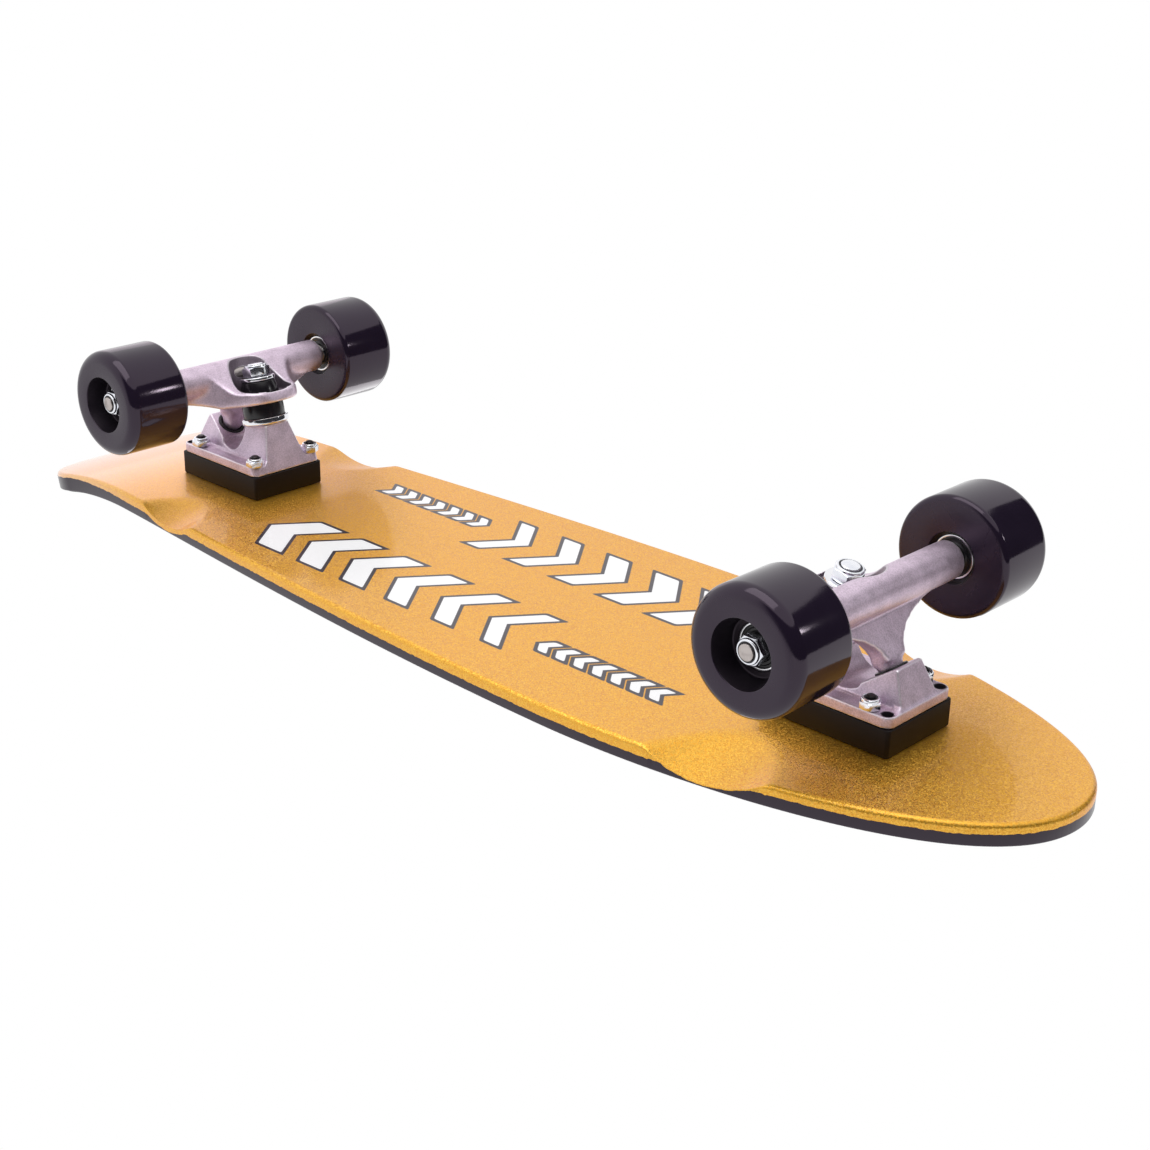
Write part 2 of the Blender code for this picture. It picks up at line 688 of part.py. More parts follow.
def flare(end, slope, half, name):
    """The wall that spreads a block's end face out to the flange's corners."""
    foot = PLATE_THICKNESS - PLATE_EDGE_ROUNDING - FACE_SET_BACK
    start = (FLARE_REACH, PLATE_THICKNESS - PLATE_EDGE_ROUNDING / 2)
    outline = [Vector((FLARE_REACH, foot)), Vector(start)]
    outline += sweep(start, (half, PLATE_THICKNESS + FLARE_HEIGHT), FLARE_STEPS)
    outline += [Vector((-point.x, point.y)) for point in reversed(outline)]
    rings = []
    for depth in (FACE_SET_BACK * 2, FLARE_THICKNESS):
        ring = []
        for y, z in outline:
            ring.append(Vector((end * (abs(flare_end(end)) - z * math.tan(slope) - depth), y, z)))
        rings.append(ring)
    return loft(rings, name)


def flare_end(end):
    """Where a block's end face would meet the baseplate's underside."""
    if end < 0:
        return PLATE_INNER_REACH
    return PLATE_OUTER_REACH - PLATE_EDGE_ROUNDING + PLATE_THICKNESS * math.tan(PIVOT_BLOCK_SLOPE)


def cup_cavity_radius():
    return PIVOT_BALL_RADIUS + SEAT_GAP


def cup_outer_radius():
    return NECK_RADIUS + SEAT_GAP + CUP_WALL / 2


def baseplate():
    cup_bottom = -(cup_cavity_radius() + CUP_WALL + SEAT_GAP)
    cup_bore = rod(
        cup_outer_radius() + SEAT_GAP,
        cup_bottom,
        PIVOT_BALL_DEPTH + NECK_RADIUS,
        CUP_SEGMENTS,
        "cup_bore",
        PIVOT_FRAME,
    )
    head_corner = KINGPIN_HEAD_FLATS / 2 / math.cos(math.pi / 6) + SEAT_GAP
    head_seat = -KINGPIN_GRIP_IN_BLOCK
    kingpin_bore = stepped_bore(
        (head_corner, KINGPIN_HOLE_RADIUS), (-FAR, head_seat, OVERSHOOT), BUSHING_SEGMENTS, KINGPIN_FRAME
    )
    half_kingpin = KINGPIN_BLOCK_TOP_HALF + BLOCK_SIDE_DRAFT * KINGPIN_SEAT_HEIGHT / 2
    half_pivot = cup_outer_radius() + BLOCK_WALL + BLOCK_SIDE_DRAFT * PIVOT_MOUTH_HEIGHT / 2
    steps = [
        ("UNION", kingpin_block()),
        ("UNION", pivot_block()),
        ("UNION", flare(-1, KINGPIN_BLOCK_SLOPE, half_kingpin, "flare")),
        ("UNION", flare(1, PIVOT_BLOCK_SLOPE, half_pivot, "flare")),
        ("DIFFERENCE", kingpin_bore),
        ("DIFFERENCE", cup_bore),
    ]
    clear_height = PLATE_THICKNESS + 2 * FLARE_HEIGHT
    nut_spots = [(hole, NUT_SPOT_RADIUS) for hole in bolt_places()]
    spare_spots = [(hole, HOLE_SPOT_RADIUS) for hole in outer_hole_places()]
    for hole, radius in nut_spots + spare_spots:
        heights = (-OVERSHOOT, PLATE_THICKNESS, clear_height)
        frame = Matrix.Translation(hole)
        bore = stepped_bore((MOUNT_HOLE_RADIUS, radius), heights, BOLT_SEGMENTS, frame)
        steps.append(("DIFFERENCE", bore))
    for side in (1, -1):
        ends = sorted((side * PLATE_PANEL_INNER, side * PLATE_PANEL_OUTER))
        outline = rounded_rectangle(
            (-PLATE_PANEL_HALF_LENGTH, ends[0]), (PLATE_PANEL_HALF_LENGTH, ends[1]), PLATE_PANEL_DEPTH, 1
        )
        low = PLATE_THICKNESS - PLATE_PANEL_DEPTH
        steps.append(("DIFFERENCE", prism(outline, low, PLATE_THICKNESS + OVERSHOOT, "panel")))
    return shaped(flange(), *steps)


def pivot_cup():
    """The soft cup that the hanger's nose turns in."""
    cavity = cup_cavity_radius()
    outer = cup_outer_radius()
    top = PIVOT_BALL_DEPTH + CUP_RIM
    bottom = -cavity - CUP_WALL
    mouth = neck_radius_at(top) + SEAT_GAP + CUP_RIM / 2
    profile = [(0.0, bottom), (outer, bottom), (outer, top), (mouth, top), (cavity, 0.0)]
    profile += ball_points(cavity)
    return lathe(profile, CUP_SEGMENTS, "pivot_cup")


def neck_radius_at(height):
    """The hanger neck's radius at a distance from the pivot, growing from the ball to the full neck."""
    share = min(max(height / (PIVOT_BALL_DEPTH + CUP_RIM), 0.0), 1.0)
    return PIVOT_BALL_RADIUS + (NECK_RADIUS - NECK_FLARE - PIVOT_BALL_RADIUS) * share


def ball_points(radius):
    """A quarter of the pivot ball's outline, from its widest ring down to its tip."""
    points = []
    for step in range(1, BALL_STEPS + 1):
        angle = math.pi / 2 * step / BALL_STEPS
        points.append((radius * math.cos(angle), -radius * math.sin(angle)))
    points[-1] = (0.0, -radius)
    return points


def kingpin():
    end = KINGPIN_HEAD_TOP + KINGPIN_LENGTH
    tip = KINGPIN_RADIUS - AXLE_END_CHAMFER
    head_low = KINGPIN_HEAD_TOP - KINGPIN_HEAD_HEIGHT
    profile = [(0.0, head_low + OVERSHOOT), (KINGPIN_RADIUS, head_low + OVERSHOOT)]
    profile += [(KINGPIN_RADIUS, end - AXLE_END_CHAMFER), (tip, end), (0.0, end)]
    shank = lathe(profile, BUSHING_SEGMENTS, "kingpin")
    return shaped(shank, ("UNION", hexagon(KINGPIN_HEAD_FLATS, head_low, KINGPIN_HEAD_TOP, "head")))


def low_washer():
    """The cupped washer under the lower bushing."""
    low = LOW_WASHER_START
    floor = low + LOW_WASHER_THICKNESS
    high = low + LOW_WASHER_HEIGHT
    rim = LOW_BUSHING_RADIUS + BUSHING_BARREL + SEAT_GAP
    profile = [
        (KINGPIN_HOLE_RADIUS, low),
        (LOW_WASHER_RADIUS - LOW_WASHER_THICKNESS, low),
        (LOW_WASHER_RADIUS, low + LOW_WASHER_THICKNESS),
        (LOW_WASHER_RADIUS, high),
        (rim, high),
        (rim, floor),
        (KINGPIN_HOLE_RADIUS, floor),
    ]
    return lathe(profile, BUSHING_SEGMENTS, "low_washer")


def bushing(start, length, radii, name):
    """A soft ring round the kingpin that bulges a little in its middle."""
    base_radius, tip_radius = radii
    middle = (base_radius + tip_radius) / 2 + BUSHING_BARREL
    profile = [
        (KINGPIN_HOLE_RADIUS, start),
        (base_radius, start),
        (middle, start + length / 2),
        (tip_radius, start + length),
        (KINGPIN_HOLE_RADIUS, start + length),
    ]
    return lathe(profile, BUSHING_SEGMENTS, name)


def top_washer():
    low = TOP_WASHER_START
    high = low + TOP_WASHER_THICKNESS
    edge = TOP_WASHER_THICKNESS / 3
    profile = [
        (KINGPIN_HOLE_RADIUS, low),
        (TOP_WASHER_RADIUS, low),
        (TOP_WASHER_RADIUS, high - edge),
        (TOP_WASHER_RADIUS - edge, high),
        (KINGPIN_HOLE_RADIUS, high),
    ]
    return lathe(profile, BUSHING_SEGMENTS, "top_washer")


def lock_nut(flats, heights, bore, segments, name):
    """A hexagon nut with the round collar of its locking insert, standing on z = 0."""
    hex_height, height = heights
    collar = flats / 2 - SEAT_GAP
    dome = rod(collar, OVERSHOOT, height, segments, "collar")
    hole = rod(bore, -OVERSHOOT, height + OVERSHOOT, segments, "hole")
    return shaped(hexagon(flats, 0.0, hex_height, name), ("UNION", dome), ("DIFFERENCE", hole))


def on_kingpin(across, along):
    """A place in the truck's middle plane, across and along the kingpin from its seat."""
    point = KINGPIN_FRAME @ Vector((across, 0.0, along))
    return Vector((point.x, point.z))


def web_side():
    """The hanger's middle seen from the side: lip, slanted face, web and the arch behind the bushing."""
    lip_low = on_kingpin(-YOKE_FRONT - OVERSHOOT, YOKE_UNDERSIDE)
    lip_top = on_kingpin(-YOKE_FRONT + YOKE_LIP_SLANT, YOKE_LIP_TOP)
    tube_top = arc((AXLE_X, AXLE_HEIGHT), TUBE_RADIUS, WEB_TUBE_TOP, WEB_TUBE_TOP, 1)[0]
    crease = Vector((AXLE_X + WEB_TUBE_OFFSET, AXLE_HEIGHT - WEB_TUBE_DROP))
    neck_out = PIVOT_FRAME @ Vector((NECK_RADIUS, 0.0, PIVOT_BALL_DEPTH + WEB_UP_NECK))
    neck_in = PIVOT_FRAME @ Vector((-NECK_RADIUS + NECK_FLARE, 0.0, PIVOT_BALL_DEPTH + WEB_UP_NECK))
    arch_start = on_kingpin(LOW_WASHER_RADIUS + ARCH_CLEARANCE / 2, YOKE_UNDERSIDE)
    arch_end = Vector((neck_in.x, neck_in.z))
    side = [lip_low, lip_top, tube_top, Vector((AXLE_X + WEB_TUBE_OFFSET, AXLE_HEIGHT)), crease]
    side += [Vector((neck_out.x, neck_out.z)), arch_end]
    arch = bezier(
        arch_end,
        Vector((arch_end.x, arch_end.y + ARCH_RISE)),
        Vector((arch_start.x, arch_start.y - ARCH_RISE)),
        arch_start,
        ARCH_STEPS,
    )
    return side + arch


def yoke_plan():
    """The hanger seen along the kingpin: a blunt nose, two corners and a skirt out to the tube."""
    corner = Vector((-YOKE_FRONT + YOKE_CORNER_BACK, YOKE_CORNER_HALF))
    skirt = Vector((-YOKE_FRONT + SKIRT_BACK, SKIRT_HALF))
    half = [Vector((-YOKE_FRONT, YOKE_FRONT_HALF)), corner]
    half += bezier(
        corner,
        corner + Vector((SKIRT_FULLNESS, YOKE_LIP_RISE)),
        skirt - Vector((YOKE_LIP_RISE, SKIRT_FULLNESS)),
        skirt,
        SKIRT_STEPS,
    )
    half.append(Vector((FAR, SKIRT_HALF)))
    return half + [Vector((point.x, -point.y)) for point in reversed(half)]


def web_front():
    """The hanger seen from its end of the board: the web sweeps from the neck out to the tube."""
    low = Vector((NECK_RADIUS, PIVOT_MOUTH_HEIGHT))
    waist = Vector((NECK_RADIUS, PIVOT_MOUTH_HEIGHT + CUP_RIM * 3))
    wing = Vector((WEB_HALF_WIDTH, AXLE_HEIGHT - TUBE_RADIUS))
    half = [low, waist]
    half += bezier(
        waist,
        Vector((waist.x, waist.y + WEB_SWEEP / 2)),
        Vector((wing.x - WEB_SWEEP * 2, wing.y - WEB_SWEEP)),
        wing,
        WEB_STEPS,
    )
    half.append(Vector((WEB_HALF_WIDTH, AXLE_HEIGHT + TUBE_RADIUS * 2)))
    return half + [Vector((-point.x, point.y)) for point in reversed(half)]


def tube_profile():
    """The axle tube's radius along the axle, with a small boss at each end."""
    half = [
        (TUBE_RADIUS, TUBE_HALF_LENGTH - TUBE_END_ROUNDING),
        (TUBE_RADIUS - TUBE_END_ROUNDING, TUBE_HALF_LENGTH),
        (BOSS_RADIUS, TUBE_HALF_LENGTH),
        (BOSS_RADIUS, BOSS_END),
        (0.0, BOSS_END),
    ]
    return [(radius, -y) for radius, y in reversed(half)] + half


def hanger():
    """The cast hanger: three outlines crossed, joined to the tube and the neck, then hollowed."""
    lay_flat = Matrix.Rotation(math.pi / 2, 4, "X")
    stand_up = Matrix(((0, 0, 1, 0), (1, 0, 0, 0), (0, 1, 0, 0), (0, 0, 0, 1)))
    web = prism(web_side(), -SKIRT_HALF - OVERSHOOT, SKIRT_HALF + OVERSHOOT, "hanger", lay_flat)
    plan = prism(yoke_plan(), -FAR, FAR, "plan", KINGPIN_FRAME)
    front = prism(web_front(), -FAR, FAR, "front", stand_up)
    tube = lathe(tube_profile(), TUBE_SEGMENTS, "tube", AXLE_FRAME)
    neck_top = PIVOT_BALL_DEPTH + NECK_LENGTH
    shoulder = PIVOT_BALL_DEPTH + NECK_SHOULDER
    neck_profile = [(0.0, neck_top), (NECK_RADIUS, neck_top), (NECK_RADIUS, shoulder)]
    neck_profile += [(neck_radius_at(neck_top), PIVOT_BALL_DEPTH + CUP_RIM), (PIVOT_BALL_RADIUS, 0.0)]
    neck_profile += ball_points(PIVOT_BALL_RADIUS)
    neck = lathe(neck_profile, CUP_SEGMENTS, "neck", PIVOT_FRAME)
    middle = (POCKET_BACK - POCKET_FRONT) / 2
    stretch = Matrix.Diagonal(((POCKET_BACK + POCKET_FRONT) / 2, POCKET_HALF_WIDTH, 1.0, 1.0))
    pocket_frame = KINGPIN_FRAME @ Matrix.Translation((middle, 0.0, 0.0)) @ stretch
    pocket = rod(1.0, YOKE_FLOOR, FAR, POCKET_SEGMENTS, "pocket", pocket_frame)
    hole = rod(YOKE_HOLE_RADIUS, 0.0, FAR, BUSHING_SEGMENTS, "hole", KINGPIN_FRAME)
    seat_radius = LOW_BUSHING_RADIUS + BUSHING_BARREL + SEAT_GAP
    seat = rod(seat_radius, 0.0, YOKE_SEAT, BUSHING_SEGMENTS, "seat", KINGPIN_FRAME)
    axle_hole = rod(AXLE_HOLE_RADIUS, -AXLE_END, AXLE_END, AXLE_SEGMENTS, "axle_hole", AXLE_FRAME)
    return shaped(
        web,
        ("INTERSECT", plan),
        ("INTERSECT", front),
        ("UNION", tube),
        ("UNION", neck),
        ("DIFFERENCE", pocket),
        ("DIFFERENCE", seat),
        ("DIFFERENCE", hole),
        ("DIFFERENCE", axle_hole),
    )


def axle():
    """The steel axle with the inner speed washer of each wheel pressed on it."""
    end = AXLE_END
    half = [
        (AXLE_RADIUS, INNER_WASHER_START),
        (SPEED_WASHER_RADIUS, INNER_WASHER_START),
        (SPEED_WASHER_RADIUS, INNER_WASHER_START + SPEED_WASHER_THICKNESS),
        (AXLE_RADIUS, INNER_WASHER_START + SPEED_WASHER_THICKNESS),
        (AXLE_RADIUS, end - AXLE_END_CHAMFER),
        (AXLE_RADIUS - AXLE_END_CHAMFER, end),
        (0.0, end),
    ]
    return lathe([(radius, -y) for radius, y in reversed(half)] + half, AXLE_SEGMENTS, "axle")


def speed_washer():
    bore = AXLE_HOLE_RADIUS
    high = SPEED_WASHER_THICKNESS
    profile = [(bore, 0.0), (SPEED_WASHER_RADIUS, 0.0), (SPEED_WASHER_RADIUS, high), (bore, high)]
    return lathe(profile, AXLE_SEGMENTS, "speed_washer")


def bearing():
    """A ball bearing from z = 0 inwards, with its shield set back between the races."""
    bore = AXLE_HOLE_RADIUS
    shield_out = BEARING_RADIUS - BEARING_RACE
    shield_in = bore + BEARING_RACE
    profile = [
        (bore, -BEARING_WIDTH),
        (BEARING_RADIUS, -BEARING_WIDTH),
        (BEARING_RADIUS, 0.0),
        (shield_out, 0.0),
        (shield_out, -BEARING_SHIELD_DEPTH),
        (shield_in, -BEARING_SHIELD_DEPTH),
        (shield_in, 0.0),
        (bore, 0.0),
    ]
    return lathe(profile, BEARING_SEGMENTS, "bearing")


def wheel():
    """The tyre and core in one, turned about Z with its outer face up and its middle at z = 0."""
    face = WHEEL_WIDTH / 2
    seat = BEARING_RADIUS + SEAT_GAP
    inner_bearing_end = INNER_BEARING_START + BEARING_WIDTH + SEAT_GAP - WHEEL_MIDDLE
    outer_bearing_start = OUTER_BEARING_START - SEAT_GAP - WHEEL_MIDDLE
    outer_bearing_end = OUTER_BEARING_START + BEARING_WIDTH - WHEEL_MIDDLE
    inner_bearing_start = INNER_BEARING_START - WHEEL_MIDDLE
    quarter = math.pi / 2
    profile = [
        (WHEEL_OUTER_RECESS, face),
        (WHEEL_CORE_RADIUS, outer_bearing_end),
        (seat, outer_bearing_end),
        (seat, outer_bearing_start),
        (WHEEL_SHOULDER_RADIUS, outer_bearing_start),
        (WHEEL_SHOULDER_RADIUS, inner_bearing_end),
        (seat, inner_bearing_end),
        (seat, inner_bearing_start),
        (WHEEL_INNER_RECESS, -face),
    ]
    inner_lip = (WHEEL_RADIUS - WHEEL_INNER_LIP, -face + WHEEL_INNER_LIP)
    outer_lip = (WHEEL_RADIUS - WHEEL_OUTER_LIP, face - WHEEL_OUTER_LIP)
    profile += [tuple(p) for p in arc(inner_lip, WHEEL_INNER_LIP, -quarter, 0.0, INNER_LIP_STEPS)]
    profile += [tuple(p) for p in arc(outer_lip, WHEEL_OUTER_LIP, 0.0, quarter, OUTER_LIP_STEPS)]
    return lathe(profile, WHEEL_SEGMENTS, "wheel")


def board_frame(deck_mesh):
    """The board's own frame: midway between the trucks on the deck's flat underside."""
    ends = [vertex.co.x for vertex in deck_mesh.vertices]
    middle = (min(ends) + max(ends)) / 2
    return Matrix.Translation((-middle, 0.0, RIDE_HEIGHT))


def on_axle(distance, turn):
    """A place on the axle under the steer frame, at a distance along y from the truck's middle."""
    return Matrix.Translation(AXLE - STEER_CENTRE + Vector((0.0, distance, 0.0))) @ turn


def clear_scene():
    for found in list(bpy.data.objects):
        bpy.data.objects.remove(found)


def build():
    clear_scene()
    black_rubber = paint("riser_black", (0.030, 0.022, 0.022), 0.55)
    cast_aluminium = paint("cast_aluminium", (0.60, 0.50, 0.58), 0.38, 1.0)
    black_urethane = paint("bushing_black", (0.015, 0.013, 0.018), 0.45)
    cup_urethane = paint("cup_black", (0.02, 0.02, 0.02), 0.6)
    wheel_urethane = paint("wheel_black", (0.012, 0.010, 0.014), 0.18)
    chrome = paint("washer_chrome", (0.82, 0.82, 0.84), 0.15, 1.0)
    zinc = paint("nut_zinc", (0.70, 0.72, 0.76), 0.28, 1.0)
    black_oxide = paint("bolt_black", (0.03, 0.03, 0.035), 0.4, 1.0)
    steel = paint("axle_steel", (0.62, 0.62, 0.62), 0.25, 1.0)
    bearing_steel = paint("bearing_steel", (0.55, 0.56, 0.58), 0.3, 1.0)
    gold = paint("deck_gold", (0.62, 0.33, 0.05), 0.35, 0.6)
    grit = paint("grip_black", (0.02, 0.02, 0.02), 0.95)

    deck_mesh = deck()
    board = empty("board_frame", None, board_frame(deck_mesh))
    place("deck", deck_mesh, gold, board)
    place("grip_tape", grip_tape(), grit, board)

    kingpin_nut_heights = (KINGPIN_NUT_HEX_HEIGHT, KINGPIN_NUT_HEIGHT)
    mounting_nut_heights = (MOUNT_NUT_HEX_HEIGHT, MOUNT_NUT_HEIGHT)
    axle_nut_heights = (AXLE_NUT_HEX_HEIGHT, AXLE_NUT_HEIGHT)
    low_radii = (LOW_BUSHING_RADIUS, LOW_BUSHING_RADIUS)
    top_radii = (TOP_BUSHING_BASE_RADIUS, TOP_BUSHING_TIP_RADIUS)
    kingpin_nut = lock_nut(
        KINGPIN_NUT_FLATS, kingpin_nut_heights, KINGPIN_HOLE_RADIUS, AXLE_SEGMENTS, "kingpin_nut"
    )
    lower_bushing = bushing(LOW_BUSHING_START, LOW_BUSHING_LENGTH, low_radii, "lower_bushing")
    top_bushing = bushing(TOP_BUSHING_START, TOP_BUSHING_LENGTH, top_radii, "top_bushing")
    nut_seat = KINGPIN_FRAME @ Matrix.Translation((0.0, 0.0, KINGPIN_NUT_START))
    fixed = (
        ("riser", riser(), black_rubber, Matrix.Identity(4)),
        ("baseplate", baseplate(), cast_aluminium, Matrix.Identity(4)),
        ("pivot_cup", pivot_cup(), cup_urethane, PIVOT_FRAME),
        ("kingpin", kingpin(), black_oxide, KINGPIN_FRAME),
        ("lower_washer", low_washer(), chrome, KINGPIN_FRAME),
        ("top_washer", top_washer(), chrome, KINGPIN_FRAME),
        ("kingpin_nut", kingpin_nut, zinc, nut_seat),
        ("lower_bushing", lower_bushing, black_urethane, KINGPIN_FRAME),
        ("top_bushing", top_bushing, black_urethane, KINGPIN_FRAME),
    )
    bolt_mesh = mount_bolt()
    nut_mesh = lock_nut(
        MOUNT_NUT_FLATS, mounting_nut_heights, MOUNT_HOLE_RADIUS, BOLT_SEGMENTS, "mounting_nut"
    )
    hanger_mesh = hanger()
    axle_mesh = axle()
    wheel_mesh = wheel()
    bearing_mesh = bearing()
    speed_washer_mesh = speed_washer()
    axle_nut_mesh = lock_nut(
        AXLE_NUT_FLATS, axle_nut_heights, AXLE_HOLE_RADIUS, AXLE_SEGMENTS, "axle_nut"
    )

    for end_name, end in (("front", 1), ("rear", -1)):
        truck = empty(f"{end_name}_truck_frame", board, truck_frame(end))
        for name, mesh, look, frame in fixed:
            place(f"{end_name}_{name}", mesh, look, truck, frame)
        for number, hole in enumerate(bolt_places(), 1):
            frame = Matrix.Translation(hole)
            place(f"{end_name}_mounting_bolt_{number}", bolt_mesh, black_oxide, truck, frame)
            seat = Matrix.Translation(hole + Vector((0.0, 0.0, PLATE_THICKNESS + SEAT_GAP)))
            place(f"{end_name}_mounting_nut_{number}", nut_mesh, zinc, truck, seat)

        steer = empty(f"{end_name}_steer_frame", truck, Matrix.Translation(STEER_CENTRE))
        from_steer = Matrix.Translation(-STEER_CENTRE)
        place(f"{end_name}_hanger", hanger_mesh, cast_aluminium, steer, from_steer)
        place(f"{end_name}_axle", axle_mesh, steel, steer, from_steer @ AXLE_FRAME)
        for side in (1, -1):
            side_name = "left" if side * end < 0 else "right"
            prefix = f"{end_name}_{side_name}"
            face_out = Matrix.Rotation(side * math.radians(-90.0), 4, "X")
            face_in = Matrix.Rotation(side * math.radians(90.0), 4, "X")
            tyre = on_axle(side * WHEEL_MIDDLE, face_out)
            inner = on_axle(side * INNER_BEARING_START, face_in)
            outer = on_axle(side * (OUTER_BEARING_START + BEARING_WIDTH), face_out)
            washer = on_axle(side * OUTER_WASHER_START, face_out)
            nut = on_axle(side * AXLE_NUT_START, face_out)
            place(f"{prefix}_wheel", wheel_mesh, wheel_urethane, steer, tyre)
            place(f"{prefix}_inner_bearing", bearing_mesh, bearing_steel, steer, inner)
            place(f"{prefix}_outer_bearing", bearing_mesh, bearing_steel, steer, outer)
            place(f"{prefix}_speed_washer", speed_washer_mesh, chrome, steer, washer)
            place(f"{prefix}_axle_nut", axle_nut_mesh, zinc, steer, nut)


build()
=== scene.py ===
"""Dresses the cruiser skateboard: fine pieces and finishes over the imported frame, and a studio.

The photograph shows the board upside down, so the camera looks up from below the floor with its
top towards the ground. A truck is drawn in its own frame, as in the CAD: its origin is at the
middle of the mounting holes on the baseplate's underside, x runs away from the middle of the
board and z away from the deck.
"""

import math

import bmesh
import bpy
from mathutils import Matrix, Vector
from mathutils.bvhtree import BVHTree


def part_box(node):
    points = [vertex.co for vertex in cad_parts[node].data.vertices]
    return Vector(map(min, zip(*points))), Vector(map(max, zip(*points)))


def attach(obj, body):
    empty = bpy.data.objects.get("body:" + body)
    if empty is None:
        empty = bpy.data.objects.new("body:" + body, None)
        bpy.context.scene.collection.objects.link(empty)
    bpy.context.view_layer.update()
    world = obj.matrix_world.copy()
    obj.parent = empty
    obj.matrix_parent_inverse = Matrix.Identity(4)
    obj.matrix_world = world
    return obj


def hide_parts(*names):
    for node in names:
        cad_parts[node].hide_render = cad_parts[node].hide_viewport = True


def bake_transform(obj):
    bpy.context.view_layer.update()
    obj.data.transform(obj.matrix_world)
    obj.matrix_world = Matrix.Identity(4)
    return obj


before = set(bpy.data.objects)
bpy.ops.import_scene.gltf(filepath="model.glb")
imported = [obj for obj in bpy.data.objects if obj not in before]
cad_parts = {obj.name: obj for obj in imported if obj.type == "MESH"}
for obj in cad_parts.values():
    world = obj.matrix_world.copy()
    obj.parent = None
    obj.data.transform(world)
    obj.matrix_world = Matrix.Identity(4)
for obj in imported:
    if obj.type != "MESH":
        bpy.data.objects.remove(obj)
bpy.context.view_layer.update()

# Shared values
SEAT_GAP = 0.0003
OVERSHOOT = 0.001
FAR = 0.08
MERGE_DISTANCE = 1e-7
SHARP_ANGLE = math.radians(32.0)
QUARTER = math.pi / 2
LILAC_SHEEN = (1.0, 0.82, 1.0)
ROUND_SEGMENTS = 96
FINE_SEGMENTS = 64
PIN_SEGMENTS = 48
HOLE_SEGMENTS = 32

# Deck outline, section, kick, wells and paint
TRUCK_SPACING = 0.4494
NOSE_REACH = 0.1249
TAIL_REACH = 0.1653
DECK_HALF_WIDTH = 0.0965
WIDEST_BEHIND_FRONT_TRUCK = 0.1073
NOSE_FULLNESS = 0.0734
FORWARD_SIDE_FULLNESS = 0.0757
REAR_SIDE_FULLNESS = 0.1974
TAIL_HALF_WIDTH = 0.0704
TAIL_SIDE_FULLNESS = 0.0674
TAIL_SIDE_WAIST = 0.0027
TAIL_END_LENGTH = 0.060
TAIL_END_FULLNESS = 0.030
DECK_THICKNESS = 0.011
UNDERSIDE_ROUNDING = 0.0025
TOPSIDE_ROUNDING = 0.001
KICK_RADIUS = 0.350
KICK_UNDER_RISER = 0.006
GRIP_THICKNESS = 0.0009
GRIP_MARGIN = 0.0025
WELL_INBOARD_OF_AXLE = 0.0235
WELL_HALF_LENGTH = 0.033
WELL_DEPTH = 0.0095
WELL_INNER_END = 0.047
WELL_DEEPEST = 0.0891
WELL_BLEND = 0.0012
DECK_GRID = 0.0025
GOLD_LINE = 0.0056
GOLD_LINE_AT_NOSE = 0.0048
GOLD_LINE_DROP = 0.0034
GOLD_DROP_LENGTH = 0.06
GOLD_OVER_FRONT_WELL = 0.0006
GOLD_OVER_REAR_WELL = 0.003
CHEVRON_SLANT = 0.75
CHEVRON_SQUARING = 0.82

# Riser, baseplate and mounting hardware
HOLE_SPACING_ALONG = 0.053975
HOLE_SPACING_ACROSS = 0.041275
OUTER_HOLE_SPACING = 0.0635
MOUNT_BOLT_RADIUS = 0.0024
MOUNT_BOLT_LENGTH = 0.0375
MOUNT_HEAD_RADIUS = 0.0047
MOUNT_HEAD_DEPTH = 0.0026
MOUNT_SOCKET_FLATS = 0.0030
MOUNT_SOCKET_DEPTH = 0.0018
MOUNT_POINT = 0.0006
MOUNT_NUT = {"flats": 0.0095, "hex_height": 0.0036, "height": 0.0051}
RISER_HEIGHT = 0.01446
RISER_MARGIN = 0.0004
RISER_CORNER = 0.002
PLATE_INNER_REACH = 0.0319
PLATE_OUTER_REACH = 0.0407
PLATE_HALF_WIDTH = 0.0248
PLATE_THICKNESS = 0.0054
PLATE_CORNER = 0.0045
PLATE_EDGE = 0.0008
PLATE_VOXEL = 0.00045
PLATE_PANEL_DEPTH = 0.0006
PLATE_PANEL_INNER = 0.0155
PLATE_PANEL_OUTER = 0.0226
PLATE_PANEL_HALF_LENGTH = 0.0195
PLATE_PANEL_CORNER = 0.001
KINGPIN_LEAN = math.radians(13.3)
KINGPIN_SEAT_X = -0.01185
KINGPIN_SEAT_HEIGHT = 0.02444
KINGPIN_BLOCK_SLOPE = math.radians(19.0)
KINGPIN_BLOCK_INNER_REACH = 0.0082
KINGPIN_BLOCK_TOP_HALF = 0.0084
PIVOT_BLOCK_SLOPE = math.radians(35.5)
PIVOT_BLOCK_TOP_LENGTH = 0.0016
BLOCK_SIDE_DRAFT = 0.28
BLOCK_WALL = 0.0012
SADDLE_HEIGHT = 0.0010
SADDLE_X = 0.006
FLARE_HEIGHT = 0.0065
FLARE_THICKNESS = 0.004
FLARE_REACH = 0.0213
FLARE_FOOT = 0.001
FLARE_SINK = 0.0004
NUT_SPOT_RADIUS = 0.0061
HOLE_SPOT_RADIUS = 0.0046
CAST_SMOOTHING = 12
# Painted shade in the castings' hollows: how far it fades in from a wall, and how dark it gets in
# the holes
HOLLOW_FADE = 0.0004
HOLE_SHADE = 0.92

